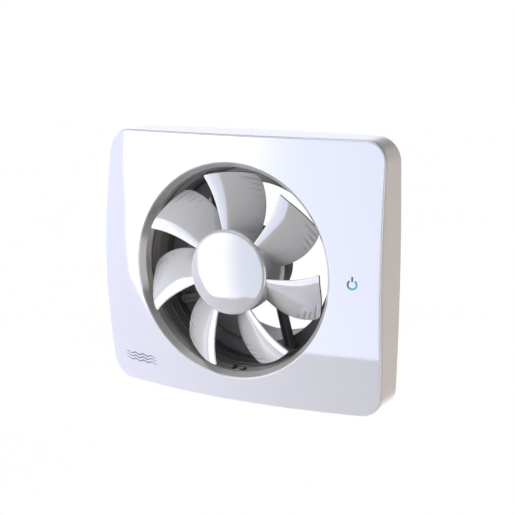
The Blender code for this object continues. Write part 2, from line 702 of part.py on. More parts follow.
def tooth_block(name, tooth, half_width, radii, y_range, material=None):
    """Block astride a stator tooth, between two radii."""
    angle = 360 / STATOR_TEETH * tooth
    along = polar(1.0, angle, 0.0)
    aside = polar(1.0, angle + 90, 0.0)
    inner, outer = radii
    corners = ((inner, -half_width), (outer, -half_width), (outer, half_width), (inner, half_width))
    outline = [(along.x * reach + aside.x * side, along.z * reach + aside.z * side)
               for reach, side in corners]
    return prism(name, outline, y_range[0], y_range[1], material)


def stator_coil(index):
    """Copper winding around one tooth."""
    name = f"stator_coil_{index + 1}"
    radii = (STATOR_HUB_R + 0.7, STATOR_R - STATOR_SHOE - 1.4)
    winding = 2.3
    half_in = STATOR_NECK_HALF + GAP + 0.05
    outside_y = (STATOR_Y[0] - winding, STATOR_Y[1] + winding)
    inside_y = (STATOR_Y[0] - GAP, STATOR_Y[1] + GAP)
    coil = tooth_block(name, index, half_in + 1.95, radii, outside_y, COPPER)
    cut(coil, tooth_block(f"cut_{name}", index, half_in, (STATOR_HUB_R - 2.2, STATOR_R), inside_y))
    return coil


def bearing(name, y_front):
    """Ball bearing as one closed ring with a groove in each face."""
    back = y_front + BEARING_WIDTH
    bore = SHAFT_R + RUNNING
    return turned(name, [
        (BEARING_R, y_front), (BEARING_R, back), (BEARING_R - 1.0, back), (bore + 1.2, back - 0.5),
        (bore, back), (bore, y_front), (bore + 1.2, y_front + 0.5), (BEARING_R - 1.0, y_front)],
        STEEL, steps=20)


def bearing_spring():
    """Preload washer between the front bearing and its seat's shoulder."""
    outer = BEARING_R - GAP
    inner = BEARING_R - 0.75
    front, back = SPRING_Y
    return turned("bearing_spring", [(outer, front), (outer, back), (inner, back), (inner, front)],
                  STEEL, steps=24)


def rotor_shaft():
    """Shaft with a groove for its clip behind the rear bearing."""
    groove_front, groove_back = SHAFT_GROOVE_Y
    return turned("rotor_shaft", [
        (0.0, SHAFT_FRONT_Y), (SHAFT_R - 0.3, SHAFT_FRONT_Y), (SHAFT_R, SHAFT_FRONT_Y + 0.4),
        (SHAFT_R, groove_front), (SHAFT_R - 0.4, groove_front), (SHAFT_R - 0.4, groove_back),
        (SHAFT_R, groove_back), (SHAFT_R, SHAFT_REAR_Y), (0.0, SHAFT_REAR_Y)], STEEL, steps=20)


def shaft_clip():
    """Open ring in the shaft's groove."""
    ring = arc_outline(SHAFT_R - GAP, 2.9, 200.0, 520.0, 14)
    return prism("shaft_clip", ring, SHAFT_GROOVE_Y[0] + 0.07, SHAFT_GROOVE_Y[1] - 0.07, STEEL)


def magnet_ring():
    inner, outer = MAGNET_R
    front, back = MAGNET_Y
    return turned("magnet_ring", [(outer, front), (outer, back), (inner, back), (inner, front)],
                  MAGNET, steps=32)


def rotor_yoke():
    """Steel cup inside the hub that carries the magnets."""
    inner = MAGNET_R[1] + GAP
    hole = HUB_BOSS_R + GAP
    front, back = YOKE_Y
    return turned("rotor_yoke", [
        (YOKE_R - 0.8, front), (YOKE_R, front + 0.8), (YOKE_R, back), (inner, back), (inner, front + 1.2),
        (hole, front + 1.2), (hole, front)], CORE_STEEL, steps=28)


# ---------------------------------------------------------------- impeller

def blade_point(index, radial, chordal):
    """Point of a blade's mid surface; both shares run from 0 at the root or the leading edge to 1."""
    radius = BLADE_ROOT_R + (BLADE_TIP_R - BLADE_ROOT_R) * radial
    lead_angle = -9.3 - 5.0 * radial - 3.0 * radial ** 3
    trail_angle = 31.5 - 7.5 * radial - 11.8 * radial ** 2
    lead_y = -34.0 + 0.6 * radial
    trail_y = -20.0
    rise = 0.08 * chordal + 0.92 * chordal ** 2
    angle = 360 / BLADES * index + lead_angle + (trail_angle - lead_angle) * chordal
    return polar(radius, angle, lead_y + (trail_y - lead_y) * rise)


def blade(index):
    """Swept, cambered blade: a grid laid on the blade's mid surface, its root buried in the hub wall."""
    name = f"add_blade_{index + 1}"
    work = bmesh.new()
    bmesh.ops.create_grid(work, x_segments=6, y_segments=7, size=0.5)
    for corner in work.verts:
        radial = corner.co.x + 0.5
        chordal = corner.co.y + 0.5
        point = blade_point(index, radial, chordal)
        if radial < 0.01:
            inward = (BLADE_ROOT_R - 0.5) / BLADE_ROOT_R
            point = Vector((point.x * inward, point.y, point.z * inward))
        corner.co = point * MM
    item = finish_mesh(name, work)
    skin = item.modifiers.new("thickness", 'SOLIDIFY')
    skin.thickness = BLADE_THICKNESS * MM
    skin.offset = 0.0
    return item


def impeller():
    """Domed hub with its shaft boss and seven blades."""
    inner_front = HUB_SHOULDER_R - HUB_WALL
    hub = turned("impeller", [
        (0.0, HUB_FACE_Y), (7.0, HUB_FACE_Y + 0.3), (14.0, HUB_FACE_Y + 1.2), (19.5, HUB_FACE_Y + 2.5),
        (22.8, HUB_FACE_Y + 3.8), (24.1, HUB_SHOULDER_Y - 0.3), (HUB_SHOULDER_R, HUB_SHOULDER_Y + 0.7),
        (HUB_REAR_R, HUB_REAR_Y), (HUB_REAR_R - HUB_WALL, HUB_REAR_Y),
        (inner_front, HUB_SHOULDER_Y + 1.2), (16.0, HUB_FACE_Y + 4.3), (HUB_BOSS_R, HUB_FACE_Y + 3.2),
        (HUB_BOSS_R, HUB_BOSS_Y),
        (SHAFT_R + RUNNING, HUB_BOSS_Y), (SHAFT_R + RUNNING, SHAFT_FRONT_Y - GAP),
        (0.0, SHAFT_FRONT_Y - GAP)],
        IMPELLER_WHITE, steps=42)
    for index in range(BLADES):
        fuse(hub, blade(index))
    return hub


# ---------------------------------------------------------------- electronics

def cable_angle():
    """Angle at which the motor cable leaves the tunnel."""
    x, z = foot_place(ARMS - 1)
    return math.degrees(math.atan2(x, z)) + 7.0


def radial_cylinder(name, radius, reach, angle, y):
    """Round cutter along a radius of the duct, between two radii."""
    item = cylinder_x(name, radius, (0.0, reach[1] - reach[0]), (0.0, 0.0), segments=14)
    item.rotation_euler = (0.0, math.radians(angle), 0.0)
    item.location = polar((reach[0] + reach[1]) / 2, angle, y) * MM
    return item


def control_board():
    low = (BOARD_X[0], BOARD_Y[0], BOARD_Z[0])
    high = (BOARD_X[1], BOARD_Y[1], BOARD_Z[1])
    board = box("control_board", low, high, BOARD_GREEN)
    for index, at in enumerate(BOARD_POSTS):
        cut(board, cylinder(f"cut_board_hole_{index + 1}", 1.7, (-16.0, -10.0), at, segments=12))
    return board


def board_screw(index):
    at = BOARD_POSTS[index]
    name = f"board_screw_{index + 1}"
    head_back = BOARD_Y[0] - GAP
    screw = cylinder(name, 1.2, (head_back - 0.7, -5.0), at, STEEL, 12)
    fuse(screw, cylinder(f"add_{name}_head", 2.6, (head_back - 1.7, head_back), at, segments=16))
    cut(screw, screw_slot(name, at, 2.0, (head_back - 3.0, head_back - 1.1)))
    return screw


def on_board(name, centre, size, material, bevel=0.4):
    """Block that stands on the control board at an (x, z) place."""
    x, z = centre
    width, depth, height = size
    back = BOARD_Y[0] - GAP
    return box(name, (x - width / 2, back - depth, z - height / 2), (x + width / 2, back, z + height / 2),
               material, bevel)


def board_components():
    back = BOARD_Y[0] - GAP
    on_board("power_module", (75.5, -19.0), (17.0, 9.5, 20.0), PART_BLACK)
    cylinder("smoothing_capacitor", 4.4, (back - 10.0, back), (79.0, 24.0), CAPACITOR, 20)
    on_board("humidity_sensor", (70.5, 12.0), (5.0, 2.6, 5.0), SENSOR_WHITE, 0.2)
    cylinder("odour_sensor", 4.2, (back - 5.0, back), (70.4, 3.2), SENSOR_CAN, 20)
    cylinder("touch_lamp", 1.8, (back - 2.2, back), TOUCH_AT, LED, 14)


def terminal_block():
    low, high = TERMINAL_BOX
    block = box("terminal_block", low, high, TERMINAL_GREY, 0.4)
    for index in range(TERMINAL_WAYS):
        cut(block, cylinder(f"cut_terminal_{index + 1}", 2.6, (low[1] - 2.0, low[1] + 4.0),
                            terminal_place(index), segments=14))
    return block


def terminal_place(index):
    """Centre of one terminal's screw, as (x, z)."""
    low, high = TERMINAL_BOX
    pitch = (high[2] - low[2]) / TERMINAL_WAYS
    return (low[0] + high[0]) / 2, low[2] + pitch * (index + 0.5)


def terminal_screw(index):
    front = TERMINAL_BOX[0][1]
    at = terminal_place(index)
    name = f"terminal_screw_{index + 1}"
    screw = cylinder(name, 2.2, (front + 0.6, front + 3.6), at, STEEL, 14)
    cut(screw, screw_slot(name, at, 3.0, (front - 1.0, front + 1.3)))
    return screw


def terminal_cover():
    """Lid over the mains terminals, open towards the wall."""
    low, high = TERMINAL_BOX
    middle_x = (low[0] + high[0]) / 2
    inside = LID_MARGIN - LID_WALL
    lid = box("terminal_cover", (low[0] - 1.6, low[1] - 4.0, low[2] - LID_MARGIN),
              (high[0] + 1.2, -3.0, high[2] + LID_MARGIN), PART_BLACK)
    cut(lid, box("cut_terminal_cover", (low[0] - 0.5, low[1] - 2.6, low[2] - inside),
                 (high[0] + 0.4, 0.0, high[2] + inside)))
    cut(lid, box("cut_terminal_mouth", (middle_x - 3.0, low[1] + 2.0, high[2]),
                 (middle_x + 3.0, 0.0, high[2] + 6.0)))
    return lid


def motor_cable():
    """Lead from the motor cup along an arm's groove and out through the tunnel wall."""
    along, aside = arm_axes(ARMS - 1)
    points = []
    for reach, y in ((25.6, -8.5), (33.0, -8.5), (41.0, -8.7), (46.5, -11.2)):
        place = along * reach + aside * ARM_OFFSET
        points.append((place.x, y, place.y))
    leave = polar(57.2, cable_angle(), CABLE_Y)
    outside = polar(63.4, cable_angle(), CABLE_Y)
    points.append(tuple(leave))
    points.append(tuple(outside))
    return tube_curve("motor_cable", points, CABLE_R, CABLE_GREY)


def build():
    front_cover()
    touch_light_guide()
    fan_housing()
    duct_seal_ring()
    cable_grommet()
    release_latch()
    latch_pin()
    motor_mount()
    for index in range(ARMS):
        mount_screw(index)
    motor_rear_cap()
    motor_board()
    stator_core()
    for index in range(STATOR_TEETH):
        stator_coil(index)
    bearing("bearing_front", SPRING_Y[0] - 0.1 - BEARING_WIDTH)
    bearing("bearing_rear", REAR_SEAT_Y[0] + 0.1)
    bearing_spring()
    rotor_shaft()
    shaft_clip()
    magnet_ring()
    rotor_yoke()
    impeller()
    control_board()
    for index in range(len(BOARD_POSTS)):
        board_screw(index)
    board_components()
    terminal_block()
    for index in range(TERMINAL_WAYS):
        terminal_screw(index)
    terminal_cover()
    motor_cable()


build()
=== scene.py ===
"""Looks of a wall-mounted bathroom extractor fan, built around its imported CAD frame.

Frame: origin on the duct's axis at the wall plane, +X right as seen from the room, +Y into the
wall, +Z up.  Sizes are written in drawn millimetres; U turns one into metres in the frame.
"""
from math import atan2, cos, degrees, pi, radians, sin, sqrt, tan, tau

import bmesh
import bpy
from mathutils import Matrix, Vector

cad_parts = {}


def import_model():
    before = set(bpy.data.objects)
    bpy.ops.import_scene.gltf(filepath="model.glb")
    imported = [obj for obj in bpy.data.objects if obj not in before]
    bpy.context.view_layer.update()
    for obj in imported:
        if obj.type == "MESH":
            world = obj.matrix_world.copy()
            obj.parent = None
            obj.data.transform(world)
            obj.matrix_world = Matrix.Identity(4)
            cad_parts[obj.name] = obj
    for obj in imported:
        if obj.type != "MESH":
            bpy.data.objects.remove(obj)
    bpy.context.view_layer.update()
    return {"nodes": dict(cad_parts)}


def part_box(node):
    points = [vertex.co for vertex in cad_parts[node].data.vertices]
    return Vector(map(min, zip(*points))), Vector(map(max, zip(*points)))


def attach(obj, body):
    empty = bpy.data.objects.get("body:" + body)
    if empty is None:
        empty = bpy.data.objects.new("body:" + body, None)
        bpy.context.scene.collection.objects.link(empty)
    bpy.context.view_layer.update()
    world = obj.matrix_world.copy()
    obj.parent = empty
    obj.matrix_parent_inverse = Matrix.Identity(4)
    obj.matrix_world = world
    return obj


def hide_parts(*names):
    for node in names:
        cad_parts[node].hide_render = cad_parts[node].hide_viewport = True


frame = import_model()
DRAWN_WIDTH = 185.5
COVER_LOW, COVER_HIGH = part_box("front_cover")
U = (COVER_HIGH.x - COVER_LOW.x) / DRAWN_WIDTH

SMOOTH_ANGLE = 35.0       # edges that turn by more, in degrees, stay sharp
LONGEST_CUT = 0.49        # share of a side that one rounded corner may use

# Cover
COVER_FRONT = {"width": 182.0, "height": 157.4, "corner": 12.6, "bow_x": 1.3, "bow_z": 0.47}
COVER_BACK = {"width": 182.5, "height": 158.8, "corner": 13.6, "bow_x": 1.5, "bow_z": 0.76}
COVER_REAR_Y = -0.4
COVER_WALL = 2.2
COVER_EDGE = 1.2
DOME_CROWN = 38.4
DOME_FALL_X = 12.99e-4
DOME_FALL_Z = 14.68e-4
CORNER_STEPS = 14
SIDE_STEPS = 36
MOUTH_R = 63.9
RIM_GAP = 0.05            # between the mouth's cone and the face's inner edge
LIP_R = 60.65
LIP_FRONT_Y = -28.6
LIP_REAR_Y = -22.9

# Air path
TUNNEL_FRONT_Y = -22.6
TUNNEL_FRONT_R = 59.7
TUNNEL_REAR_R = 58.4
TUNNEL_OUTER_R = 61.5
TUNNEL_RIDGES = (-8.5, -15.5)
SHOULDER_Y = -1.8
SPIGOT_BORE_R = 49.2
SPIGOT_OUTER_R = 50.3
SPIGOT_END_Y = 34.2
TRAY_FRONT_Y = -9.0
PLATE_FRONT_Y = -1.6
TRAY_INSET = 2.6
TRAY_WALL = 1.6
WALL_HOLES = [(76.0, 66.0), (76.0, -66.0), (-76.0, -66.0), (-76.0, 66.0)]
GROMMET_AT = (-75.0, 38.0)
BOARD_POSTS = [(75.5, 36.0), (75.5, -36.0)]

# Latch and hooks
LATCH_X = 0.9
NOTCH_HALF = 4.65
NOTCH_FRONT_Y = -26.2
NOTCH_REAR_Y = -19.3
LATCH_PIVOT = (-8.0, -63.6)
HOOK_ANGLES = (-15.0, 15.0)
HOOK_HALF_ANGLE = 7.2
HOOK_SLOT_Y = (-21.2, -17.6)

# Impeller
BLADES = 7
BLADE_TIP_R = 58.0
BLADE_ROOT_R = 23.8
ROOT_OVERLAP = 0.8
BLADE_THICKNESS = 1.2
HUB_FACE_Y = -39.2
HUB_SHOULDER_R = 24.5
HUB_SHOULDER_Y = -34.2
HUB_DOME = 186.0          # twice the radius of the hub's crown
HUB_REAR_R = 25.2
HUB_REAR_Y = -12.0
HUB_WALL = 1.9
HUB_EXTRA_R = 0.8         # the photograph shows a wider shoulder than the CAD's
HUB_CORNER = 3.2
TIP_EDGE = 0.25
TAPER = 0.35              # how much thinner a blade gets from leading to trailing edge
TAPER_TIP = 3.0           # and over how far from the tip the thinning fades in
GROOVES_FROM_R = 46.0
TIP_CORNERS = (1.6, 3.6)                # at the leading and at the trailing edge
LEAD_ANGLE = (-9.3, -5.0, -3.0)         # at the root, growing with radius and with its cube
TRAIL_ANGLE = (31.5, -7.5, -11.8)       # at the root, growing with radius and with its square
LEAD_Y = -34.0
LEAD_FALL = 0.6
TRAIL_Y = -20.0
RISE_FLAT = 0.08
RISE_BEND = 0.32
RISE_START = 0.12
RISE_STEP = 0.83
RISE_GROWTH = 0.216
GROOVE_HALF = 0.24
GROOVE_SHARE = 0.75       # of the blade's half thickness
GROOVE_FADE = 2.0
GROOVE_FROM_EDGE = 0.7
GROOVES = [(46.6, 5.0), (49.8, 8.5), (52.7, 7.0), (55.2, 12.0)]     # radius, length

# Motor mount
CUP_R = 23.2
CUP_FRONT_Y = -11.1
CUP_REAR_Y = 1.0
CAP_R = 22.4
CAP_REAR_Y = 5.0
ARMS = 4
ARM_FIRST_ANGLE = 165.4
ARM_OFFSET = 13.5
ARM_WIDTH = (4.1, 4.7)
ARM_Y = (-9.2, -4.0)
FOOT_CENTRE_R = 54.1
FOOT_R = 3.0
FOOT_Y = (-6.4, -2.1)
FOOT_HOLE_R = 1.7
FOOT_HOLE_Y = (-6.0, 2.0)
CUP_INNER_R = 21.6

# Touch symbol and the printed mark
TOUCH_AT = (76.5, -0.2)
SYMBOL_R = 2.92
SYMBOL_STROKE = 0.92
SYMBOL_OPENING = 38.0
SYMBOL_BAR = (1.8, 4.5)

# Camera: bearing and height above the horizon in degrees, distance in drawn millimetres; floor
VIEW_BEARING = 28.534
VIEW_HEIGHT = 11.066
VIEW_DISTANCE = 690.198
VIEW_TARGET = (0.502, 0.0, 2.873)
VIEW_LENS = 79.85
FLOOR_SIZE = 6000.0
FLOOR_Z = -420.0


# ---- mesh helpers

def dome_y(x, z):
    """Depth of the cover's face."""
    return -(DOME_CROWN - DOME_FALL_X * x * x - DOME_FALL_Z * z * z)


def on_dome(spot, behind=0.0):
    """Point of the cover's face at an (x, z) place, or so far behind it."""
    return Vector((spot.x, dome_y(*spot) + behind, spot.y))


def polar(radius, angle, y=0.0):
    """Point at an angle in degrees clockwise from the top, seen from the room."""
    turn = radians(angle)
    return Vector((radius * sin(turn), y, radius * cos(turn)))


def new_object(name, mesh):
    item = bpy.data.objects.new(name, mesh)
    bpy.context.scene.collection.objects.link(item)
    return item


def from_bmesh(name, work, smooth_angle=SMOOTH_ANGLE):
    """Object from a bmesh in drawn millimetres, faces turned out and smooth up to an angle."""
    bmesh.ops.remove_doubles(work, verts=work.verts, dist=0.0005)
    bmesh.ops.recalc_face_normals(work, faces=work.faces)
    bmesh.ops.scale(work, vec=(U, U, U), verts=work.verts)
    mesh = bpy.data.meshes.new(name)
    work.to_mesh(mesh)
    work.free()
    mesh.shade_smooth()
    mesh.set_sharp_from_angle(angle=radians(smooth_angle))
    return new_object(name, mesh)


def applied(item):
    """Replace an object's mesh by what its modifiers make of it."""
    graph = bpy.context.evaluated_depsgraph_get()
    mesh = bpy.data.meshes.new_from_object(item.evaluated_get(graph))
    item.modifiers.clear()
    old = item.data
    item.data = mesh
    bpy.data.meshes.remove(old)


def boolean(target, tools, operation='DIFFERENCE'):
    """Cut or join one object with others, which are used up."""
    for tool in tools:
        modifier = target.modifiers.new("boolean", 'BOOLEAN')
        modifier.operation = operation
        modifier.object = tool
        modifier.solver = 'EXACT'
    applied(target)
    for tool in tools:
        bpy.data.objects.remove(tool, do_unlink=True)


def flat_faces(item):
    """Shade large faces flat, whatever the small faces beside them do."""
    weighted = item.modifiers.new("flat_faces", 'WEIGHTED_NORMAL')
    weighted.keep_sharp = True
    weighted.weight = 90


def bevelled(item, width, segments=3, angle=SMOOTH_ANGLE):
    """Round an object's sharp edges, with a width in drawn millimetres."""
    modifier = item.modifiers.new("edges", 'BEVEL')
    modifier.width = width * U
    modifier.segments = segments
    modifier.limit_method = 'ANGLE'
    modifier.angle_limit = radians(angle)
    flat_faces(item)


def smooth_again(item):
    """Mark sharp edges anew, after a boolean has changed the mesh."""
    item.data.shade_smooth()
    item.data.set_sharp_from_angle(angle=radians(SMOOTH_ANGLE))


def fillet(profile, closed=False, steps=4):
    """Round a profile's corners: each point is (radius, y) or (radius, y, corner radius)."""
    rounded = []
    count = len(profile)
    for index, entry in enumerate(profile):
        here = Vector(entry[:2])
        size = entry[2] if len(entry) > 2 else 0.0
        at_end = not closed and index in (0, count - 1)
        if size <= 0.0 or at_end:
            rounded.append(here)
            continue
        before = Vector(profile[index - 1][:2])
        after = Vector(profile[(index + 1) % count][:2])
        inward = (before - here).normalized()
        outward = (after - here).normalized()
        half = inward.angle(outward) / 2
        reach = min(size / tan(half), (before - here).length * LONGEST_CUT,
                    (after - here).length * LONGEST_CUT)
        start = here + inward * reach
        end = here + outward * reach
        weight = sin(half)
        for step in range(steps + 1):
            t = step / steps
            a = (1 - t) ** 2
            b = 2 * t * (1 - t) * weight
            c = t ** 2
            rounded.append((start * a + here * b + end * c) / (a + b + c))
    return rounded


def neighbours(items, ring):
    """Pairs of items that follow each other, in a ring from the last to the first as well."""
    return list(zip(items, items[1:] + items[:1] if ring else items[1:]))


def lathe(name, profile, segments=160, closed=True, steps=4):
    """Piece turned about the duct's axis from a profile of (radius, y[, corner radius])."""
    work = bmesh.new()
    verts = [work.verts.new((radius, y, 0.0)) for radius, y in fillet(profile, closed, steps)]
    edges = [work.edges.new(pair) for pair in neighbours(verts, closed)]
    bmesh.ops.spin(work, geom=verts + edges, cent=(0, 0, 0), axis=(0, 1, 0), dvec=(0, 0, 0),
                   angle=tau, steps=segments, use_merge=True, use_duplicate=False)
    return from_bmesh(name, work)


def prism(name, outline, front, back):
    """Closed outline of (x, z) points extruded between two y values."""
    work = bmesh.new()
    corners = [work.verts.new((x, back, z)) for x, z in outline]
    base = work.faces.new(corners)
    extruded = bmesh.ops.extrude_face_region(work, geom=[base])["geom"]
    moved = [item for item in extruded if isinstance(item, bmesh.types.BMVert)]
    bmesh.ops.translate(work, vec=(0, front - back, 0), verts=moved)
    return from_bmesh(name, work)


def rectangle(left, low, right, high):
    return [(left, low), (right, low), (right, high), (left, high)]


def block(name, low, high):
    """Box between two corners."""
    return prism(name, rectangle(low[0], low[2], high[0], high[2]), low[1], high[1])


def latch_block(name, half, y_range, z_range):
    """Box that reaches equally far to both sides of the latch's middle."""
    return block(name, (LATCH_X - half, y_range[0], z_range[0]), (LATCH_X + half, y_range[1], z_range[1]))


def rod(name, radius, y_range, at, segments=32):
    """Round bar along Y at an (x, z) place."""
    outline = [(at[0] + radius * cos(tau * step / segments),
                at[1] + radius * sin(tau * step / segments)) for step in range(segments)]
    return prism(name, outline, y_range[0], y_range[1])


def rod_x(name, radius, x_range, at, segments=32):
    """Round bar along X at a (y, z) place."""
    work = bmesh.new()
    middle = Vector(((x_range[0] + x_range[1]) / 2, at[0], at[1]))
    matrix = Matrix.Translation(middle) @ Matrix.Rotation(radians(90), 4, 'Y')
    bmesh.ops.create_cone(work, cap_ends=True, segments=segments, radius1=radius, radius2=radius,
                          depth=x_range[1] - x_range[0], matrix=matrix)
    return from_bmesh(name, work)


def arc_outline(inner, outer, start, end, steps, centre=(0.0, 0.0)):
    """Outline of a ring sector between two angles clockwise from the top."""
    angles = [start + (end - start) * step / steps for step in range(steps + 1)]
    ways = [polar(1.0, angle) for angle in angles]
    outline = [(centre[0] + way.x * outer, centre[1] + way.z * outer) for way in ways]
    outline += [(centre[0] + way.x * inner, centre[1] + way.z * inner) for way in reversed(ways)]
    return outline


def skin(work, lines, ring=False):
    """Faces between neighbouring lines of points, each closed on itself; a ring joins last to first."""
    rows = [[work.verts.new(point) for point in line] for line in lines]
    for first, second in neighbours(rows, ring):
        for step in range(len(first)):
            after = (step + 1) % len(first)
            work.faces.new((first[step], first[after], second[after], second[step]))
    return rows


def fin(work, angle, half_front, half_back, sections):
    """Thin rib along an angle, through sections of (reach, front, back)."""
    along = polar(1.0, angle)
    aside = polar(1.0, angle + 90)
    rows = skin(work, [[along * reach + aside * side + Vector((0, y, 0))
                        for side, y in ((-half_front, front), (half_front, front),
                                        (half_back, back), (-half_back, back))]
                       for reach, front, back in sections])
    work.faces.new(rows[0])
    work.faces.new(rows[-1][::-1])


def cover_outline(width, height, corner, bow_x, bow_z, inset=0.0,
                  corner_steps=CORNER_STEPS, side_steps=SIDE_STEPS):
    """Rounded rectangle whose four sides bow outwards, as (x, z) points."""
    half_x = width / 2
    half_z = height / 2
    corners = []
    for sign_x, sign_z, start in ((1, 1, 0), (-1, 1, 90), (-1, -1, 180), (1, -1, 270)):
        centre = Vector((sign_x * (half_x - corner), sign_z * (half_z - corner)))
        arc = []
        for step in range(corner_steps + 1):
            turn = radians(start + 90 * step / corner_steps)
            arc.append(centre + Vector((cos(turn), sin(turn))) * (corner - inset))
        corners.append(arc)
    outline = []
    for index, arc in enumerate(corners):
        following = corners[(index + 1) % 4][0]
        outline += arc
        outline += [arc[-1].lerp(following, step / side_steps) for step in range(1, side_steps)]
    bowed = []
    for x, z in outline:
        push_x = bow_x * (1 - (z / half_z) ** 2) * x / half_x
        push_z = bow_z * (1 - (x / half_x) ** 2) * z / half_z
        bowed.append(Vector((x + push_x, z + push_z)))
    return bowed


def paint(item, material):
    item.data.materials.clear()
    item.data.materials.append(material)


def place(item, material, body, slot, *nodes):
    """Give a piece its material and body, and hide the CAD nodes it stands for; the slot is not used."""
    paint(item, material)
    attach(item, body)
    if nodes:
        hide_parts(*nodes)


# ---- node helpers

class Tree:
    """Short way to write node networks: each call adds a node and returns an output socket."""

    def __init__(self, tree):
        self.tree = tree
        self.nodes = tree.nodes
        self.links = tree.links

    def plug(self, socket, value):
        if isinstance(value, bpy.types.NodeSocket):
            self.links.new(value, socket)
        elif socket.type == 'RGBA':
            socket.default_value = (*value, 1.0)
        elif value is not None:
            socket.default_value = value

    def feed(self, node, inputs):
        for name, value in inputs.items():
            self.plug(node.inputs[name], value)

    def add(self, kind, inputs=None, output=0, **settings):
        node = self.nodes.new('ShaderNode' + kind)
        for name, value in settings.items():
            setattr(node, name, value)
        self.feed(node, inputs or {})
        return node.outputs[output]

    def math(self, operation, first, second=None, third=None):
        return self.add('Math', {0: first, 1: second, 2: third}, operation=operation)

    def product(self, first, *others):
        for other in others:
            first = self.math('MULTIPLY', first, other)
        return first

    def ramp(self, value, low, high):
        """0 below one value, 1 above another, and a smooth blend between them."""
        return self.add('MapRange', {"Value": value, "From Min": low, "From Max": high},
                        interpolation_type='SMOOTHSTEP')

    def fall(self, value, low, high):
        """A ramp upside down: 1 below one value and 0 above another."""
        return self.math('SUBTRACT', 1.0, self.ramp(value, low, high))

    def mix(self, factor, first, second):
        return self.add('Mix', {0: factor, 6: first, 7: second}, output=2, data_type='RGBA')

    def spot(self):
        """Position in the piece's own coordinates, in metres."""
        return self.add('TexCoord', output="Object")

    def split(self, vector):
        return self.add('SeparateXYZ', {0: vector}).node.outputs

    def noise(self, size, detail=3.0, rough=0.5, vector=None):
        """Noise between 0 and 1 whose lumps have a size in metres."""
        return self.add('TexNoise', {
            "Vector": vector or self.spot(), "Scale": 1.0 / size, "Detail": detail, "Roughness": rough
        }, output="Fac")

    def around(self, value, low, high):
        """Noise stretched to a range of values."""
        return self.add('MapRange', {
            "Value": value, "From Min": 0.3, "From Max": 0.7, "To Min": low, "To Max": high})

    def bump(self, height, depth):
        return self.add('Bump', {"Height": height, "Distance": depth, "Strength": 1.0}, output="Normal")


def shade(color, amount):
    return tuple(min(1.0, channel * amount) for channel in color)


def new_material(name):
    material = bpy.data.materials.new(name)
    material.use_nodes = True
    tree = Tree(material.node_tree)
    shader = tree.nodes["Principled BSDF"]
    return material, tree, shader


def plastic(name, color, roughness, grain=6e-4, relief=1e-5, mottle=0.02, coat=0.0,
            coat_ior=1.6, dust=0.0, ior=1.5):
    """Moulded plastic: faint colour mottle, uneven gloss and a fine skin texture."""
    material, tree, shader = new_material(name)
    color_now = tree.mix(tree.around(tree.noise(0.018, 4.0), 0.0, 1.0), shade(color, 1.0 - mottle),
                         shade(color, 1.0 + mottle))
    if dust:
        lint = tree.ramp(tree.noise(0.0011, 2.0), 0.66, 0.74)
        color_now = tree.mix(tree.product(lint, dust), color_now, (0.55, 0.54, 0.51))
    wear = tree.noise(0.0045, 5.0, 0.6)
    tree.feed(shader, {
        "Base Color": color_now, "IOR": ior,
        "Roughness": tree.around(wear, roughness * 0.85, roughness * 1.2),
        "Normal": tree.bump(tree.noise(grain), relief)})
    if coat:
        tree.feed(shader, {"Coat Weight": coat, "Coat IOR": coat_ior, "Coat Roughness": roughness * 0.6})
    return material


def impeller_plastic():
    """Moulded plastic of the impeller, with painted shade on the blades' tip faces."""
    material = plastic("impeller_white", (0.65, 0.65, 0.665), 0.09, relief=2e-6, mottle=0.012,
                       coat=1.0, coat_ior=1.68, dust=0.03)
    tree = Tree(material.node_tree)
    shader = tree.nodes["Principled BSDF"]
    x, _, z = tree.split(tree.spot())
    radius = tree.math('SQRT', tree.math('ADD', tree.product(x, x), tree.product(z, z)))
    # Painted shade: the blades' tip faces, close to the tunnel wall, turn near black and lose their coat.
    ragged = tree.math('MULTIPLY_ADD', tree.noise(0.0015), 0.0001, radius)
    tip_shade = tree.ramp(ragged, (BLADE_TIP_R - 0.35) * U, (BLADE_TIP_R - 0.02) * U)
    unshaded = shader.inputs["Base Color"].links[0].from_socket
    tree.feed(shader, {"Base Color": tree.mix(tip_shade, unshaded, (0.05, 0.05, 0.048)),
                       "Coat Weight": tree.math('SUBTRACT', 1.0, tip_shade)})
    return material


def metal(name, color, roughness, stretch=(1.0, 1.0, 1.0), grain=4e-4, tarnish=0.12):
    """Turned or pressed metal: fine tool marks stretched along one way, and patches of tarnish."""
    material, tree, shader = new_material(name)
    marks_at = tree.add('Mapping', {"Vector": tree.spot(), "Scale": stretch})
    marks = tree.noise(grain, 4.0, 0.6, marks_at)
    patches = tree.around(tree.noise(0.004, 4.0), 0.0, 1.0)
    tree.feed(shader, {
        "Base Color": tree.mix(patches, shade(color, 1.0 - tarnish), color), "Metallic": 1.0,
        "Roughness": tree.around(marks, roughness * 0.7, roughness * 1.3),
        "Normal": tree.bump(marks, 8e-6)})
    return material


def layered(name, dark, light, pitch, roughness):
    """Stacked sheets or wound wire: metal in bands along Y, with a pitch in metres."""
    material, tree, shader = new_material(name)
    along = tree.split(tree.spot())[1]
    wobble = tree.product(tree.noise(0.002), pitch * 0.35)
    phase = tree.product(tree.math('ADD', along, wobble), tau / pitch)
    band = tree.math('MULTIPLY_ADD', tree.math('SINE', phase), 0.5, 0.5)
    tree.feed(shader, {
        "Base Color": tree.mix(band, dark, light), "Metallic": 1.0,
        "Roughness": tree.around(tree.noise(0.0008), roughness * 0.8, roughness * 1.2),
        "Normal": tree.bump(band, 5e-5)})
    return material


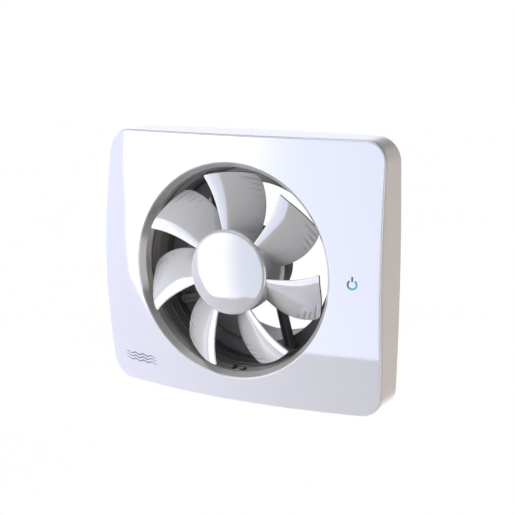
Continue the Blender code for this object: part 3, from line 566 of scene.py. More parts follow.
def circuit_board(name):
    """Green solder mask over copper tracks, with tinned pads."""
    material, tree, shader = new_material(name)
    x, _, z = tree.split(tree.spot())
    flat = tree.add('CombineXYZ', {0: x, 1: z, 2: 0.0})
    tracks = tree.add('TexBrick', {
        "Vector": flat, "Scale": 1.0, "Mortar Size": 0.00022, "Brick Width": 0.0062, "Row Height": 0.0019,
        "Color1": (0, 0, 0), "Color2": (0, 0, 0), "Mortar": (1, 1, 1)}, output="Fac")
    pads = tree.add('TexVoronoi', {"Vector": flat, "Scale": 260.0}, output="Distance")
    pad = tree.fall(pads, 0.16, 0.2)
    mask = tree.mix(tracks, (0.012, 0.11, 0.045), (0.03, 0.2, 0.085))
    tree.feed(shader, {
        "Base Color": tree.mix(pad, mask, (0.6, 0.6, 0.58)), "Metallic": pad,
        "Roughness": tree.around(tree.noise(0.001), 0.28, 0.4), "Normal": tree.bump(tracks, 3e-5)})
    return material


def lit_symbol(name):
    """Tinted light guide, darker at the top left and brighter at the lower right."""
    material, tree, shader = new_material(name)
    x, _, z = tree.split(tree.spot())
    slant = tree.math('SUBTRACT', tree.math('SUBTRACT', x, TOUCH_AT[0] * U),
                      tree.math('SUBTRACT', z, TOUCH_AT[1] * U))
    share = tree.ramp(slant, -3.2 * U, 3.4 * U)
    speckle = tree.product(tree.noise(0.0004), 0.12)
    color = tree.mix(tree.math('ADD', share, speckle), (0.01, 0.075, 0.1), (0.004, 0.36, 0.53))
    tree.feed(shader, {
        "Base Color": color, "Emission Color": color, "Emission Strength": 0.22, "Coat Weight": 0.3,
        "Roughness": tree.around(tree.noise(0.0009), 0.12, 0.22)})
    return material


COVER_WHITE = plastic("cover_white", (0.80, 0.805, 0.875), 0.06, relief=1.2e-6, mottle=0.006,
                      coat=1.0, coat_ior=1.68)
IMPELLER_WHITE = impeller_plastic()
HOUSING_GREY = plastic("housing_grey", (0.15, 0.152, 0.15), 0.34, relief=2e-5, mottle=0.05,
                       dust=0.08)
# Painted shade: the cover's white plastic in its throat and on the latch tab gets a grey colour for the
# shade inside the mouth.
THROAT_SHADE = plastic("throat_painted_shade", (0.4, 0.395, 0.385), 0.2, relief=6e-6, mottle=0.03, coat=0.4)
MOUNT_GREY = plastic("mount_grey", (0.15, 0.152, 0.15), 0.5, ior=1.35, relief=3e-5, mottle=0.08,
                     dust=0.1)
CAP_BLACK = plastic("cap_black", (0.014, 0.014, 0.014), 0.5, ior=1.35, relief=3e-5, mottle=0.1,
                    dust=0.08)
RUBBER_BLACK = plastic("rubber_black", (0.02, 0.02, 0.02), 0.7, grain=3e-4, relief=3e-5,
                       mottle=0.15, dust=0.15)
PART_BLACK = plastic("part_black", (0.022, 0.022, 0.025), 0.45, grain=2e-4, relief=3e-5,
                     mottle=0.1)
SENSOR_WHITE = plastic("sensor_white", (0.72, 0.72, 0.7), 0.5, grain=3e-4, relief=2e-5)
TERMINAL_GREY = plastic("terminal_grey", (0.47, 0.48, 0.49), 0.42, grain=3e-4, relief=2e-5)
CABLE_GREY = plastic("cable_grey", (0.26, 0.26, 0.27), 0.5, grain=3e-4, relief=3e-5, mottle=0.06)
CAPACITOR = plastic("capacitor_sleeve", (0.03, 0.045, 0.16), 0.3, grain=8e-4,
                    mottle=0.08, coat=0.4)
LED = plastic("led", (0.7, 0.86, 0.92), 0.15, grain=5e-4, relief=4e-6, coat=0.5)
MARK_GREY = plastic("mark_grey", (0.13, 0.18, 0.27), 0.25, grain=3e-4, relief=4e-6, mottle=0.05)
STEEL = metal("steel", (0.56, 0.56, 0.57), 0.3, (1.0, 6.0, 1.0))
SENSOR_CAN = metal("sensor_can", (0.66, 0.66, 0.64), 0.26, (1.0, 0.2, 1.0))
MAGNET = metal("magnet", (0.11, 0.11, 0.12), 0.55, grain=0.0003, tarnish=0.3)
CORE_STEEL = layered("core_steel", (0.12, 0.12, 0.13), (0.34, 0.34, 0.36), 0.00035, 0.4)
COPPER = layered("copper", (0.3, 0.1, 0.04), (0.72, 0.33, 0.15), 0.00034, 0.32)
BOARD_GREEN = circuit_board("board_green")
LIGHT_GUIDE = lit_symbol("light_guide")


# ---- front cover

def headings():
    """Directions from the duct's axis to each point of the outline."""
    count = len(cover_outline(**COVER_FRONT))
    turns = [radians(45 + 360 * (index - CORNER_STEPS / 2) / count) for index in range(count)]
    return [Vector((cos(turn), sin(turn))) for turn in turns]


def cone_point(rim_y, back_off):
    """Point of the mouth's cone, as (radius, y), at a depth behind its front edge."""
    share = back_off / (LIP_FRONT_Y - rim_y)
    return (MOUTH_R + RIM_GAP + (LIP_R - MOUTH_R - RIM_GAP) * share, rim_y + back_off)


def round_mouth(way, profile):
    """Points of a (radius, y) profile in one direction from the axis."""
    return [Vector((way.x * radius, y, way.y * radius)) for radius, y in profile]


def cover_loops():
    """Closed set of loops round the cover: mouth edge, face, edge, side wall and back inside."""
    front = cover_outline(**COVER_FRONT)
    face_edge = cover_outline(**COVER_FRONT, inset=COVER_EDGE)
    back = cover_outline(**COVER_BACK)
    inner_front = cover_outline(**COVER_FRONT, inset=COVER_WALL + 0.8)
    inner_back = cover_outline(**COVER_BACK, inset=COVER_WALL)
    lines = []
    for index, way in enumerate(headings()):
        rim = way * (MOUTH_R + RIM_GAP)
        edge = face_edge[index]
        inside = rim + (edge - rim).normalized() * 2.0
        rim_y = dome_y(*rim)
        mouth = fillet([cone_point(rim_y, 0.75), (MOUTH_R + RIM_GAP, rim_y, 0.5),
                        (MOUTH_R + 2.05, dome_y(*inside))], steps=6)[:-1]
        line = round_mouth(way, mouth)
        start = Vector((line[-1].x, line[-1].z))
        for step in range(1, 25):
            spot = start.lerp(edge, step / 24)
            line.append(on_dome(spot))
        corner = on_dome(front[index])
        first = line[-1]
        last = corner + Vector((0, COVER_EDGE, 0))
        for step in range(1, 8):
            t = step / 7
            a, b, c = (1 - t) ** 2, 2 * t * (1 - t) * 0.7071, t * t
            line.append((first * a + corner * b + last * c) / (a + b + c))
        foot = Vector((back[index].x, COVER_REAR_Y, back[index].y))
        line += [last.lerp(foot, step / 10) for step in range(1, 11)]
        near = inner_front[index]
        line.append(Vector((inner_back[index].x, COVER_REAR_Y, inner_back[index].y)))
        line.append(Vector((near.x, dome_y(*near) + COVER_WALL + 0.6, near.y)))
        away = way * (MOUTH_R + 2.4)
        for step in range(1, 11):
            spot = near.lerp(away, step / 10)
            line.append(on_dome(spot, COVER_WALL))
        lines.append(line + round_mouth(way, [(MOUTH_R + 1.6, rim_y + 0.85)]))
    return lines


def mouth_loops():
    """Closed set of loops round the grey ring inside the cover's mouth."""
    lines = []
    root = LIP_R + COVER_WALL - 0.4
    for way in headings():
        rim_y = dome_y(*(way * (MOUTH_R + RIM_GAP)))
        profile = [(LIP_R, LIP_REAR_Y), (LIP_R, LIP_FRONT_Y, 1.3), cone_point(rim_y, 0.85),
                   (MOUTH_R + 1.5, rim_y + 0.95), (root, LIP_FRONT_Y + 0.6), (root, LIP_REAR_Y)]
        lines.append(round_mouth(way, fillet(profile, steps=6)))
    return lines


def closed_skin(name, lines):
    """Closed mesh from lines of points that run round a ring."""
    work = bmesh.new()
    skin(work, lines, ring=True)
    return from_bmesh(name, work)


def face_normals(item):
    """Give the domed face its exact normals, so reflections run smoothly over it."""
    mesh = item.data
    normals = [tuple(corner.vector) for corner in mesh.corner_normals]
    for polygon in mesh.polygons:
        for loop in polygon.loop_indices:
            spot = mesh.vertices[mesh.loops[loop].vertex_index].co / U
            exact = Vector((2 * DOME_FALL_X * spot.x, -1.0, 2 * DOME_FALL_Z * spot.z)).normalized()
            if abs(spot.y - dome_y(spot.x, spot.z)) < 0.02 and polygon.normal.dot(exact) > 0.93:
                normals[loop] = tuple(exact)
    mesh.normals_split_custom_set(normals)


def symbol_outlines(margin):
    """The ring and the bar of the touch symbol, widened by a margin."""
    half = SYMBOL_STROKE / 2 + margin
    middle = SYMBOL_R - SYMBOL_STROKE / 2
    end = SYMBOL_OPENING - degrees(margin / middle)
    ring = arc_outline(middle - half, middle + half, end, 360 - end, 60, TOUCH_AT)
    x, z = TOUCH_AT
    return ring, rectangle(x - half, z + SYMBOL_BAR[0] - margin, x + half, z + SYMBOL_BAR[1] + margin)


def cover_shell():
    shell = closed_skin("cover_shell", cover_loops())
    ring, bar = symbol_outlines(0.1)
    boolean(shell, [prism("cut_ring", ring, -34.0, -24.0), prism("cut_bar", bar, -34.0, -24.0)])
    smooth_again(shell)
    face_normals(shell)
    place(shell, COVER_WHITE, "front_cover", "cover_white", "front_cover")


def mouth_ring():
    """Ring of the cover's throat, painted grey for the shade inside the mouth, with the latch notch and the
    two hooks.
    """
    ring = closed_skin("mouth_ring", mouth_loops())
    boolean(ring, [latch_block("cut_notch", NOTCH_HALF, (NOTCH_FRONT_Y, LIP_REAR_Y + 1.0), (-65.0, -58.0))])
    for angle in HOOK_ANGLES:
        outline = arc_outline(TUNNEL_OUTER_R + 0.5, TUNNEL_OUTER_R + 2.1,
                              angle - HOOK_HALF_ANGLE + 0.5, angle + HOOK_HALF_ANGLE - 0.5, 16)
        boolean(ring, [prism("add_hook", outline, LIP_REAR_Y - 1.2, HOOK_SLOT_Y[1] + 0.4)], 'UNION')
    smooth_again(ring)
    # Painted shade: grey on the cover's white plastic, for the shade inside the mouth.
    place(ring, THROAT_SHADE, "front_cover", "cover_white", "front_cover")


def cover_ribs():
    """Stiffening ribs inside the cover, from the throat towards its corners."""
    work = bmesh.new()
    for corner in (49.0, 131.0, 229.0, 311.0):
        for angle in (corner - 7.0, corner + 7.0):
            sections = []
            for reach in (LIP_R + 3.0, 76.0, 88.0, 96.0):
                spot = polar(1.0, angle) * reach
                lean = (reach - LIP_R) / 40.0
                front = dome_y(spot.x, spot.z) + COVER_WALL - 0.3
                sections.append((reach, front, front + 6.5 - 5.0 * lean))
            fin(work, angle, 0.5, 0.4, sections)
    place(from_bmesh("cover_ribs", work), COVER_WHITE, "front_cover", "cover_white")


def raised(name, outline, front, back, material, slot, *nodes):
    """Piece of the cover between two depths that are functions of (x, z)."""
    work = bmesh.new()
    corners = [work.verts.new((x, back(x, z), z)) for x, z in outline]
    lifted = [work.verts.new((x, front(x, z), z)) for x, z in outline]
    count = len(outline)
    for index in range(count):
        after = (index + 1) % count
        work.faces.new((corners[index], corners[after], lifted[after], lifted[index]))
    for index in range(count // 2 - 1):
        facing = count - 1 - index
        for ends in (corners, lifted):
            work.faces.new((ends[index], ends[index + 1], ends[facing - 1], ends[facing]))
    place(from_bmesh(name, work), material, "front_cover", slot, *nodes)


def touch_symbol():
    """Symbol window flush with the face; its disc and stem are behind it."""
    for name, outline in zip(("touch_ring", "touch_bar"), symbol_outlines(0.0)):
        raised(name, outline, lambda x, z: dome_y(x, z) + 0.02, lambda x, z: -26.6,
               LIGHT_GUIDE, "light_guide", "touch_light_guide")
    disc = rod("touch_lens", SYMBOL_R + 2.2, (-27.0, -25.4), TOUCH_AT, 64)
    boolean(disc, [rod("add_stem", 2.2, (-26.0, -16.6), TOUCH_AT, 40)], 'UNION')
    smooth_again(disc)
    bevelled(disc, 0.15)
    place(disc, LIGHT_GUIDE, "front_cover", "light_guide", "touch_light_guide")


def airflow_mark():
    """Small printed mark of three waves near the cover's lower left corner."""
    steps = 96
    for row in range(3):
        level = -60.0 - 2.1 * row
        upper = []
        lower = []
        for step in range(steps + 1):
            share = step / steps
            x = -80.0 + 26.0 * share
            z = level + 0.5 * sin(share * tau * 4)
            half = 0.42 * sqrt(max(0.02, sin(pi * share)))
            upper.append((x, z + half))
            lower.append((x, z - half))
        raised(f"airflow_mark_{row + 1}", upper + lower[::-1], lambda x, z: dome_y(x, z) - 0.03,
               lambda x, z: dome_y(x, z) + 0.3, MARK_GREY, "cover_white")


# ---- impeller

def hub():
    """Domed hub with a motor boss and ribs inside."""
    outer_r = HUB_SHOULDER_R + HUB_EXTRA_R
    profile = [(radius, HUB_FACE_Y + radius ** 2 / HUB_DOME) for radius in range(0, 18)]
    profile += [(outer_r, HUB_FACE_Y + outer_r ** 2 / HUB_DOME, HUB_CORNER), (HUB_REAR_R, HUB_REAR_Y, 0.3),
                (HUB_REAR_R - HUB_WALL, HUB_REAR_Y, 0.3),
                (HUB_SHOULDER_R - HUB_WALL, HUB_SHOULDER_Y + 1.2, 1.0), (16.0, HUB_FACE_Y + 4.3),
                (4.4, HUB_FACE_Y + 3.2, 0.5), (4.4, -28.0, 0.3), (1.58, -28.0), (1.58, -35.3), (0.0, -35.3)]
    item = lathe("impeller_hub", profile, 144, closed=False, steps=8)
    place(item, IMPELLER_WHITE, "rotor", "impeller_white", "impeller")
    work = bmesh.new()
    front = HUB_FACE_Y + 3.0
    for index in range(BLADES):
        fin(work, 360 / BLADES * (index + 0.5), 0.45, 0.4,
            [(4.0, front, -33.4), (14.0, front, -33.8), (20.6, front, -32.4)])
    place(from_bmesh("hub_ribs", work), IMPELLER_WHITE, "rotor", "impeller_white")


def blade_rise(chordal):
    """Share of the blade's depth reached at a share of its chord: flat at first, then bent."""
    bend = min(max((chordal - RISE_FLAT) / (RISE_BEND - RISE_FLAT), 0.0), 1.0)
    eased = (RISE_BEND - RISE_FLAT) * (bend ** 3 - bend ** 4 / 2) + max(0.0, chordal - RISE_BEND)
    return RISE_START * chordal + RISE_STEP * eased + RISE_GROWTH * chordal ** 2


def blade_middle(index, radius, chordal):
    """Point of a blade's mid surface."""
    radial = (radius - BLADE_ROOT_R) / (BLADE_TIP_R - BLADE_ROOT_R)
    lead_angle = LEAD_ANGLE[0] + LEAD_ANGLE[1] * radial + LEAD_ANGLE[2] * radial ** 3
    trail_angle = TRAIL_ANGLE[0] + TRAIL_ANGLE[1] * radial + TRAIL_ANGLE[2] * radial ** 2
    lead_y = LEAD_Y + LEAD_FALL * radial
    angle = 360 / BLADES * index + lead_angle + (trail_angle - lead_angle) * chordal
    return polar(radius, angle, lead_y + (TRAIL_Y - lead_y) * blade_rise(chordal))


def blade_side(index, radius, chordal):
    """Unit vector square to the mid surface."""
    step = 0.002
    low = max(0.0, chordal - step)
    high = min(1.0, chordal + step)
    along = blade_middle(index, radius, high) - blade_middle(index, radius, low)
    across = blade_middle(index, radius + 0.05, chordal) - blade_middle(index, radius - 0.05, chordal)
    return along.cross(across).normalized()


def chord_length(index, radius):
    points = [blade_middle(index, radius, step / 8) for step in range(9)]
    return sum((after - before).length for before, after in zip(points, points[1:]))


def corner_cut(radius, size):
    """How far a rounded tip corner pulls the blade's edge in at a radius."""
    depth = radius - (BLADE_TIP_R - size)
    if depth <= 0:
        return 0.0
    return size - sqrt(max(0.0, size * size - depth * depth))


def groove_depth(radius, from_trailing):
    """Share of a groove's full depth at a radius and a distance from the trailing edge."""
    depth = 0.0
    for groove, length in GROOVES:
        inside = 1.0 - abs(radius - groove) / GROOVE_HALF
        if inside > 0.0 and from_trailing < length:
            depth = (inside * min(1.0, (length - from_trailing) / GROOVE_FADE)
                     * min(1.0, max(0.0, from_trailing - GROOVE_FROM_EDGE)))
    return depth


def blade_radii():
    """Radii of a blade's cross-sections: closer together at the grooves and the tip."""
    root = BLADE_ROOT_R - ROOT_OVERLAP
    radii = [root + (GROOVES_FROM_R - BLADE_ROOT_R + ROOT_OVERLAP) * step / 14 for step in range(14)]
    for groove, _ in GROOVES:
        radii += [groove + GROOVE_HALF * step / 2 for step in (-2, -1, 0, 1, 2)]
    radii += [48.2, 51.2, 53.8, BLADE_TIP_R - 0.005]
    radii += [BLADE_TIP_R - 1.8 + 1.8 * sin(radians(90 * step / 10)) for step in range(0, 10)]
    return sorted(radii)


def blade(index):
    """Closed blade with rounded edges, rounded tip corners and short grooves at its trailing edge."""
    half = BLADE_THICKNESS / 2
    across = 30
    rows = []
    for radius in blade_radii():
        chord = chord_length(index, radius)
        start = corner_cut(radius, TIP_CORNERS[0]) / chord
        end = 1 - corner_cut(radius, TIP_CORNERS[1]) / chord
        to_tip = BLADE_TIP_R - radius
        limit = half
        if to_tip < TIP_EDGE:
            limit = half - TIP_EDGE + sqrt(max(0.0, TIP_EDGE ** 2 - (TIP_EDGE - to_tip) ** 2))
        row = []
        for step in range(2 * across):
            turn = pi * step / across
            share = (1 - cos(turn)) / 2
            chordal = start + (end - start) * share
            from_edge = min(share, 1 - share) * chord * (end - start)
            thick = half if from_edge > half else sqrt(max(0.0, half ** 2 - (half - from_edge) ** 2))
            taper = 1.0 - TAPER * share * min(1.0, to_tip / TAPER_TIP)
            side = 1 if step < across else -1
            offset = 0.0 if step in (0, across) else side * min(thick, limit) * taper
            out = blade_side(index, radius, chordal)
            if offset * out.y < 0:
                offset *= 1.0 - GROOVE_SHARE * groove_depth(radius, (1 - share) * chord)
            row.append(blade_middle(index, radius, chordal) + out * offset)
        rows.append(row)
    work = bmesh.new()
    verts = skin(work, rows)
    for row in (verts[0], verts[-1]):
        for step in range(across):
            corners = list(dict.fromkeys((row[step], row[step + 1], row[-step - 1], row[-step])))
            if len(corners) > 2:
                work.faces.new(corners)
    item = from_bmesh(f"blade_{index + 1}", work, smooth_angle=60)
    place(item, IMPELLER_WHITE, "rotor", "impeller_white", "impeller")


# ---- housing

def arm_axes(index):
    """Direction of an arm and of its offset from the axis, as (x, z) vectors."""
    angle = ARM_FIRST_ANGLE + 360 / ARMS * index
    return polar(1.0, angle).xz, polar(1.0, angle - 90).xz


def foot_reach():
    return sqrt(FOOT_CENTRE_R ** 2 - ARM_OFFSET ** 2)


def foot_place(index):
    along, aside = arm_axes(index)
    return along * foot_reach() + aside * ARM_OFFSET


def foot_rods(name, radius, y_range, segments=32):
    """One rod at each of the motor mount's feet."""
    return [rod(name, radius, y_range, foot_place(index), segments) for index in range(ARMS)]


def cable_angle():
    """Bearing of the hole in the tunnel for the motor's lead, beside the last arm."""
    x, z = foot_place(ARMS - 1)
    return degrees(atan2(x, z)) + 7.0


def air_tunnel():
    """Tunnel round the impeller, the shoulder behind it and the duct spigot."""
    ridges = []
    for level in TUNNEL_RIDGES:
        widening = (TUNNEL_FRONT_R - TUNNEL_REAR_R) * (SHOULDER_Y - level)
        wall = TUNNEL_REAR_R + widening / (SHOULDER_Y - TUNNEL_FRONT_Y)
        ridges += [(wall, level + 0.45, 0.15), (wall - 0.4, level + 0.2, 0.15),
                   (wall - 0.4, level - 0.2, 0.15), (wall, level - 0.45, 0.15)]
    tunnel = lathe("air_tunnel", [
        (TUNNEL_OUTER_R, TUNNEL_FRONT_Y, 0.3), (TUNNEL_OUTER_R, SHOULDER_Y + 1.0, 0.4),
        (SPIGOT_OUTER_R, SHOULDER_Y + 1.0, 0.5), (SPIGOT_OUTER_R, SPIGOT_END_Y, 0.5),
        (SPIGOT_BORE_R, SPIGOT_END_Y, 0.3), (SPIGOT_BORE_R, -0.4, 0.8),
        (SPIGOT_BORE_R + 1.6, SHOULDER_Y, 1.0), (TUNNEL_REAR_R, SHOULDER_Y, 0.4)
    ] + ridges + [(TUNNEL_FRONT_R, TUNNEL_FRONT_Y, 0.35)], 200)
    tools = [latch_block("cut_notch", NOTCH_HALF, (TUNNEL_FRONT_Y - 1.0, NOTCH_REAR_Y), (-63.0, -57.0))]
    for angle in HOOK_ANGLES:
        outline = arc_outline(56.0, 64.0, angle - HOOK_HALF_ANGLE, angle + HOOK_HALF_ANGLE, 12)
        tools.append(prism("cut_hook", outline, *HOOK_SLOT_Y))
    hole = rod_x("cut_cable", 1.9, (0.0, 9.0), (0.0, 0.0))
    turn = radians(cable_angle() - 90)
    hole.data.transform(Matrix.Translation(polar(56.0, cable_angle(), -12.0) * U)
                        @ Matrix.Rotation(turn, 4, 'Y'))
    boolean(tunnel, tools + [hole] + foot_rods("cut_foot", FOOT_HOLE_R, FOOT_HOLE_Y))
    smooth_again(tunnel)
    place(tunnel, HOUSING_GREY, "housing", "housing_grey", "fan_housing")


def wall_tray():
    """Flat tray against the wall, with its rim, posts, latch lugs and rear details."""
    outer = cover_outline(**COVER_BACK, inset=TRAY_INSET, corner_steps=8, side_steps=10)
    inner = cover_outline(**COVER_BACK, inset=TRAY_INSET + TRAY_WALL, corner_steps=8, side_steps=10)
    tray = prism("wall_tray", outer, TRAY_FRONT_Y, 0.0)
    boolean(tray, [prism("cut_inside", inner, TRAY_FRONT_Y - 5.0, PLATE_FRONT_Y)])
    smooth_again(tray)
    bevelled(tray, 0.35)
    applied(tray)
    pivot_y, pivot_z = LATCH_PIVOT
    added = [rod("add_post", 3.2, (-11.7, -0.8), at, 40) for at in BOARD_POSTS]
    added += [block("add_lug", (x, pivot_y - 2.6, pivot_z - 2.6), (x + 1.9, -0.8, -61.6))
              for x in (LATCH_X - 5.4, LATCH_X + 3.5)]
    added += [block("add_rib", (side - 0.6, -6.0, low), (side + 0.6, -0.8, low + 14.0))
              for side in (-30.0, 30.0) for low in (-74.0, 60.0)]
    added += [rod("add_boss", 4.6, (-3.4, -0.8), at, 40) for at in WALL_HOLES]
    boolean(tray, added, 'UNION')
    tools = [rod("cut_duct", (SPIGOT_BORE_R + SPIGOT_OUTER_R) / 2, (-5.0, 3.0), (0.0, 0.0), 200),
             rod_x("cut_pin", 1.2, (LATCH_X - 5.0, LATCH_X + 7.0), LATCH_PIVOT),
             rod("cut_grommet", 7.5, (-4.0, 1.0), GROMMET_AT, 64)]
    tools += [rod("cut_wall_hole", 2.5, (-6.0, 1.0), at, 40) for at in WALL_HOLES]
    tools += [rod("cut_post", 1.5, (-20.0, -3.0), at) for at in BOARD_POSTS]
    holes = foot_rods("cut_foot", FOOT_HOLE_R, FOOT_HOLE_Y)
    for hole, sink in zip(holes, foot_rods("cut_sink", 3.2, (-0.9, 2.0), 48)):
        tools += [hole, sink]
    boolean(tray, tools)
    tools = [rod("cut_ejector", 2.6, (-0.25, 1.0), at, 40)
             for at in ((-44.0, 60.0), (44.0, 60.0), (-44.0, -60.0), (44.0, -60.0))]
    tools += [prism("cut_relief", arc_outline(55.6, 58.4, start, start + 50.0, 40), -0.6, 1.0)
              for start in (20.0, 110.0, 200.0, 290.0)]
    for side in (-1, 1):
        x, z = side * 76.0, side * 69.0
        tools += [block("cut_pocket", (x - 8.0, -0.6, low), (x + 8.0, 1.0, high))
                  for low, high in ((-52.0, -20.0), (-14.0, 26.0))]
        tools += [block("cut_pocket", (low, -0.6, z - 4.5), (low + 33.0, 1.0, z + 4.5))
                  for low in (-36.0, 3.0)]
    boolean(tray, tools)
    smooth_again(tray)
    flat_faces(tray)
    place(tray, HOUSING_GREY, "housing", "housing_grey", "fan_housing")


def seal_ring():
    """Rubber seal with three thin lips on the spigot."""
    seat = SPIGOT_OUTER_R + 0.15
    item = lathe("seal_lips", [
        (seat, 24.0), (seat, 30.0), (seat + 0.8, 30.0, 0.2), (seat + 0.9, 29.0, 0.2),
        (seat + 1.7, 28.6, 0.15), (seat + 0.9, 28.1, 0.2), (seat + 0.9, 27.2, 0.2),
        (seat + 2.1, 26.7, 0.15), (seat + 0.9, 26.1, 0.2), (seat + 0.9, 25.2, 0.2),
        (seat + 1.7, 24.8, 0.15), (seat + 0.9, 24.2, 0.1), (seat + 0.8, 24.0, 0.1)], 180)
    place(item, RUBBER_BLACK, "housing", "rubber_black", "duct_seal_ring")


def latch():
    """Release latch: plain tab in the throat, its arm behind the tunnel wall and the pivot barrel."""
    pivot_y = LATCH_PIVOT[0]
    arm_z = (-64.4, -62.6)
    item = latch_block("latch_lever", 1.7, (-25.8, NOTCH_REAR_Y - 0.5), (-63.2, -60.3))
    boolean(item, [latch_block("add_arm", 1.7, (-24.2, pivot_y), arm_z),
                   latch_block("add_arm_root", 3.0, (-13.0, pivot_y), arm_z),
                   rod_x("add_barrel", 1.9, (LATCH_X - 3.0, LATCH_X + 3.0), LATCH_PIVOT, 40)], 'UNION')
    boolean(item, [rod_x("cut_bore", 0.98, (LATCH_X - 6.0, LATCH_X + 6.0), LATCH_PIVOT)])
    smooth_again(item)
    bevelled(item, 0.2)
    # Painted shade: grey on the cover's white plastic, for the shade inside the mouth.
    place(item, THROAT_SHADE, "release_latch", "cover_white", "release_latch")


def arm_bar(name, index, widths, reaches, y_range):
    """Bar along an arm of the motor mount, with its width at each end."""
    along, aside = arm_axes(index)
    corners = ((reaches[0], -widths[0] / 2), (reaches[1], -widths[1] / 2), (reaches[1], widths[1] / 2),
               (reaches[0], widths[0] / 2))
    spots = [along * reach + aside * (ARM_OFFSET + side) for reach, side in corners]
    return prism(name, spots, *y_range)


def motor_cup():
    """Motor cup with its bearing tube, arms and feet."""
    inner = CUP_INNER_R
    cup = lathe("motor_cup", [
        (CUP_R, CUP_FRONT_Y, 0.5), (CUP_R, CUP_REAR_Y, 0.3), (inner, CUP_REAR_Y), (inner, -7.4, 0.5),
        (7.2, -7.4, 0.5), (7.2, 0.6), (5.3, 0.6), (5.3, -3.7), (4.2, -3.7), (4.2, -22.2), (5.3, -22.2),
        (5.3, -26.6), (7.2, -26.6, 0.3), (7.2, -9.4, 0.5), (inner, -9.4, 0.5), (inner, CUP_FRONT_Y)], 96)
    added = []
    cuts = []
    for index in range(ARMS):
        at = foot_place(index)
        added += [arm_bar("add_arm", index, ARM_WIDTH, (17.0, foot_reach()), ARM_Y),
                  rod("add_foot", FOOT_R, FOOT_Y, at, 48)]
        cuts += [rod("cut_foot", 1.5, (-6.0, 1.0), at),
                 arm_bar("cut_groove", index, (2.4, 2.4), (CUP_R + 1.3, FOOT_CENTRE_R + 4.0),
                         (ARM_Y[0] - 2.0, ARM_Y[0] + 1.7))]
    boolean(cup, added, 'UNION')
    cuts.append(lathe("cut_inside", [(inner, -7.38), (inner, 2.0), (7.22, 2.0), (7.22, -7.38)], 96))
    boolean(cup, cuts)
    smooth_again(cup)
    bevelled(cup, 0.25, angle=50)
    place(cup, MOUNT_GREY, "housing", "mount_grey", "motor_mount")


def rear_cap():
    """Motor's rear cap with a raised boss ring and cooling slots pressed in."""
    dish = CAP_REAR_Y - 0.6
    cap = lathe("motor_end_cap", [
        (0.0, 3.2), (8.2, 3.2), (8.2, 1.3), (9.6, 1.3), (9.6, 3.2), (19.9, 3.2), (19.9, -0.5),
        (21.3, -0.5), (21.3, 1.3), (CAP_R, 1.3, 0.2), (CAP_R, CAP_REAR_Y, 0.9), (20.0, CAP_REAR_Y, 0.3),
        (19.4, dish, 0.3), (9.4, dish, 0.3), (8.8, CAP_REAR_Y, 0.3), (0.0, CAP_REAR_Y)], 120, closed=False)
    slots = [arc_outline(12.0, 17.5, turn - 3.2, turn + 3.2, 4) for turn in range(0, 360, 30)]
    boolean(cap, [prism("cut_slot", slot, CAP_REAR_Y - 1.1, 6.0) for slot in slots])
    smooth_again(cap)
    bevelled(cap, 0.12, 2)
    place(cap, CAP_BLACK, "housing", "cap_black", "motor_rear_cap")


# ---- CAD nodes that stay

def numbered(**counts):
    """Names with a number at the end, from 1 to each count."""
    return " ".join(f"{prefix}_{index + 1}" for prefix, count in counts.items() for index in range(count))


def dress_nodes():
    """Materials and rounded edges, in drawn millimetres, for the CAD nodes shown as they are."""
    finishes = (
        (RUBBER_BLACK, 0.25, "cable_grommet"), (STEEL, 0.1, "latch_pin rotor_shaft"),
        (STEEL, 0.15, "bearing_front bearing_rear"), (STEEL, 0.03, "bearing_spring"),
        (STEEL, 0.05, "shaft_clip"),
        (STEEL, 0.12, numbered(mount_screw=4, board_screw=2, terminal_screw=3)),
        (BOARD_GREEN, 0.1, "motor_board control_board"), (CORE_STEEL, 0.1, "stator_core"),
        (CORE_STEEL, 0.3, "rotor_yoke"), (COPPER, 0.8, numbered(stator_coil=6)),
        (MAGNET, 0.3, "magnet_ring"), (PART_BLACK, 0.3, "power_module"),
        (PART_BLACK, 0.4, "terminal_cover"), (CAPACITOR, 0.5, "smoothing_capacitor"),
        (SENSOR_WHITE, 0.2, "humidity_sensor"), (SENSOR_CAN, 0.4, "odour_sensor"),
        (LED, 0.4, "touch_lamp"), (TERMINAL_GREY, 0.3, "terminal_block"), (CABLE_GREY, 0.0, "motor_cable"))
    for material, width, names in finishes:
        for name in names.split():
            paint(frame["nodes"][name], material)
            if width:
                bevelled(frame["nodes"][name], width, angle=40)


# ---- light, floor and camera

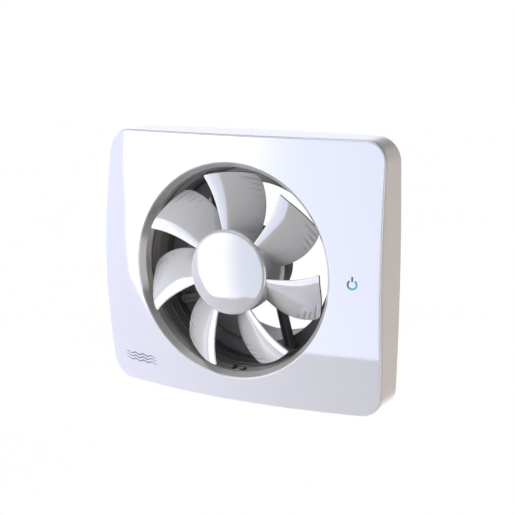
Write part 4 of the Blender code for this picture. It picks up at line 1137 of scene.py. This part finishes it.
def light_by_direction(tree, left, height):
    """What mirrors see: a softbox ahead and to the left, the room round it and a lamp on the right."""
    above = tree.math('MAXIMUM', height, 0.0)
    below = tree.math('MAXIMUM', tree.math('SUBTRACT', -14.0, height), 0.0)
    bent = tree.math('MULTIPLY_ADD', below, 0.5, tree.product(above, -0.28))
    slanted = tree.math('ADD', left, bent)
    tilted = tree.math('MULTIPLY_ADD', left, -0.053, height)
    in_box = tree.product(tree.ramp(left, -18.0, -14.0), tree.fall(slanted, 55.8, 56.8),
                          tree.ramp(tilted, -30.1, -29.4), tree.fall(height, 28.0, 32.0))
    box = tree.mix(tree.ramp(left, 14.0, 33.0), (2.2, 2.5, 3.4), (4.4, 4.45, 4.6))
    toward_left = tree.ramp(left, 12.0, 62.0)
    low_left = tree.mix(toward_left, (0.12, 0.12, 0.12), (0.52, 0.5, 0.95))
    high_left = tree.mix(toward_left, (0.6, 0.62, 0.7), (0.8, 0.95, 1.65))
    room = tree.mix(tree.ramp(height, -31.0, 5.0), low_left, high_left)
    room = tree.mix(tree.fall(left, -50.0, -14.0), room, (0.4, 0.38, 0.36))
    rear = tree.mix(tree.ramp(left, -40.0, 40.0), (0.98, 0.87, 0.75), (1.05, 1.07, 1.18))
    rear = tree.mix(tree.ramp(height, -38.0, -18.0), (1.35, 1.25, 1.2), rear)
    behind = tree.ramp(tree.math('ABSOLUTE', left), 62.0, 92.0)
    room = tree.mix(behind, room, rear)
    ceiling = tree.mix(behind, (0.7, 0.7, 0.72), (0.2, 0.2, 0.2))
    room = tree.mix(tree.ramp(height, 16.0, 30.0), room, ceiling)
    lamp = tree.product(tree.ramp(left, -92.0, -86.0), tree.fall(left, -66.0, -60.0),
                        tree.ramp(height, -34.0, -28.0), tree.fall(height, 6.0, 14.0))
    room = tree.mix(lamp, room, (5.0, 5.0, 5.1))
    room = tree.mix(tree.ramp(height, 62.0, 72.0), room, (2.6, 2.65, 2.8))
    return tree.mix(in_box, room, box)


def soft_by_direction(tree, left, height, light):
    """What matt surfaces gather: paler on the left, with a warm floor and a dark ceiling on the right."""
    grey = tree.math('MINIMUM', tree.add('RGBToBW', {"Color": light}), 3.3)
    overhead = tree.mix(tree.ramp(left, -10.0, 30.0), (0.12, 0.12, 0.12), (0.8, 0.8, 0.82))
    bounce = tree.mix(tree.ramp(height, -46.0, -12.0), (1.6, 1.5, 1.42), (0.08, 0.08, 0.08))
    soft = tree.mix(tree.ramp(height, 36.0, 56.0), tree.mix(0.85, light, grey), overhead)
    soft = tree.mix(tree.ramp(left, -12.0, 42.0), (0.26, 0.26, 0.27), soft)
    return tree.mix(tree.fall(left, -62.0, -22.0), soft, bounce)


def world():
    """Studio around the object, written by direction: degrees left of straight ahead, and height."""
    studio = bpy.data.worlds.new("studio")
    bpy.context.scene.world = studio
    studio.use_nodes = True
    tree = Tree(studio.node_tree)
    tree.nodes.clear()
    x, y, z = tree.split(tree.add('TexCoord', output="Generated"))
    left = tree.math('DEGREES', tree.math('ARCTAN2', tree.product(x, -1.0), tree.product(y, -1.0)))
    height = tree.math('DEGREES', tree.math('ARCSINE', z))
    light = light_by_direction(tree, left, height)
    soft = tree.add('Background', {
        "Color": soft_by_direction(tree, left, height, light), "Strength": 1.06})
    glossy = tree.add('Background', {"Color": light})
    seen = tree.add('Background', {"Color": (1.0, 1.0, 1.0)})
    path = tree.nodes.new('ShaderNodeLightPath').outputs
    either = tree.add('MixShader', {0: path["Is Glossy Ray"], 1: soft, 2: glossy})
    final = tree.add('MixShader', {0: path["Is Camera Ray"], 1: either, 2: seen})
    tree.feed(tree.nodes.new('ShaderNodeOutputWorld'), {"Surface": final})


def floor():
    """Plain pale floor well below the fan."""
    work = bmesh.new()
    work.faces.new([work.verts.new((FLOOR_SIZE * x, FLOOR_SIZE * y, FLOOR_Z))
                    for x, y in ((-1, -1), (1, -1), (1, 1), (-1, 1))])
    item = from_bmesh("studio_floor", work)
    material, tree, _ = new_material("pale_floor")
    tone = tree.around(tree.noise(0.35), 0.96, 1.0)
    glow = tree.add('Emission', {"Color": tree.mix(tone, (0.9, 0.9, 0.9), (1.0, 1.0, 1.0))})
    tree.feed(tree.nodes["Material Output"], {"Surface": glow})
    paint(item, material)
    for ray in ("diffuse", "glossy", "shadow", "transmission"):
        setattr(item, f"visible_{ray}", False)


def camera():
    bearing = radians(VIEW_BEARING)
    above = radians(VIEW_HEIGHT)
    level = cos(above)
    back = Vector((sin(bearing) * level, -cos(bearing) * level, sin(above)))
    right = Vector((cos(bearing), sin(bearing), 0.0))
    up = back.cross(right)
    data = bpy.data.cameras.new("camera")
    data.lens = VIEW_LENS
    data.sensor_width = 36.0
    data.clip_start = 0.01
    item = new_object("camera", data)
    spot = (Vector(VIEW_TARGET) + back * VIEW_DISTANCE) * U
    item.matrix_world = Matrix.Translation(spot) @ Matrix((right, up, back)).transposed().to_4x4()
    bpy.context.scene.camera = item


def build():
    for make in (cover_shell, mouth_ring, cover_ribs, touch_symbol, airflow_mark, hub):
        make()
    for index in range(BLADES):
        blade(index)
    for make in (air_tunnel, wall_tray, seal_ring, latch, motor_cup, rear_cap, dress_nodes,
                 world, floor, camera):
        make()
    bpy.context.scene.view_settings.view_transform = 'Standard'


build()
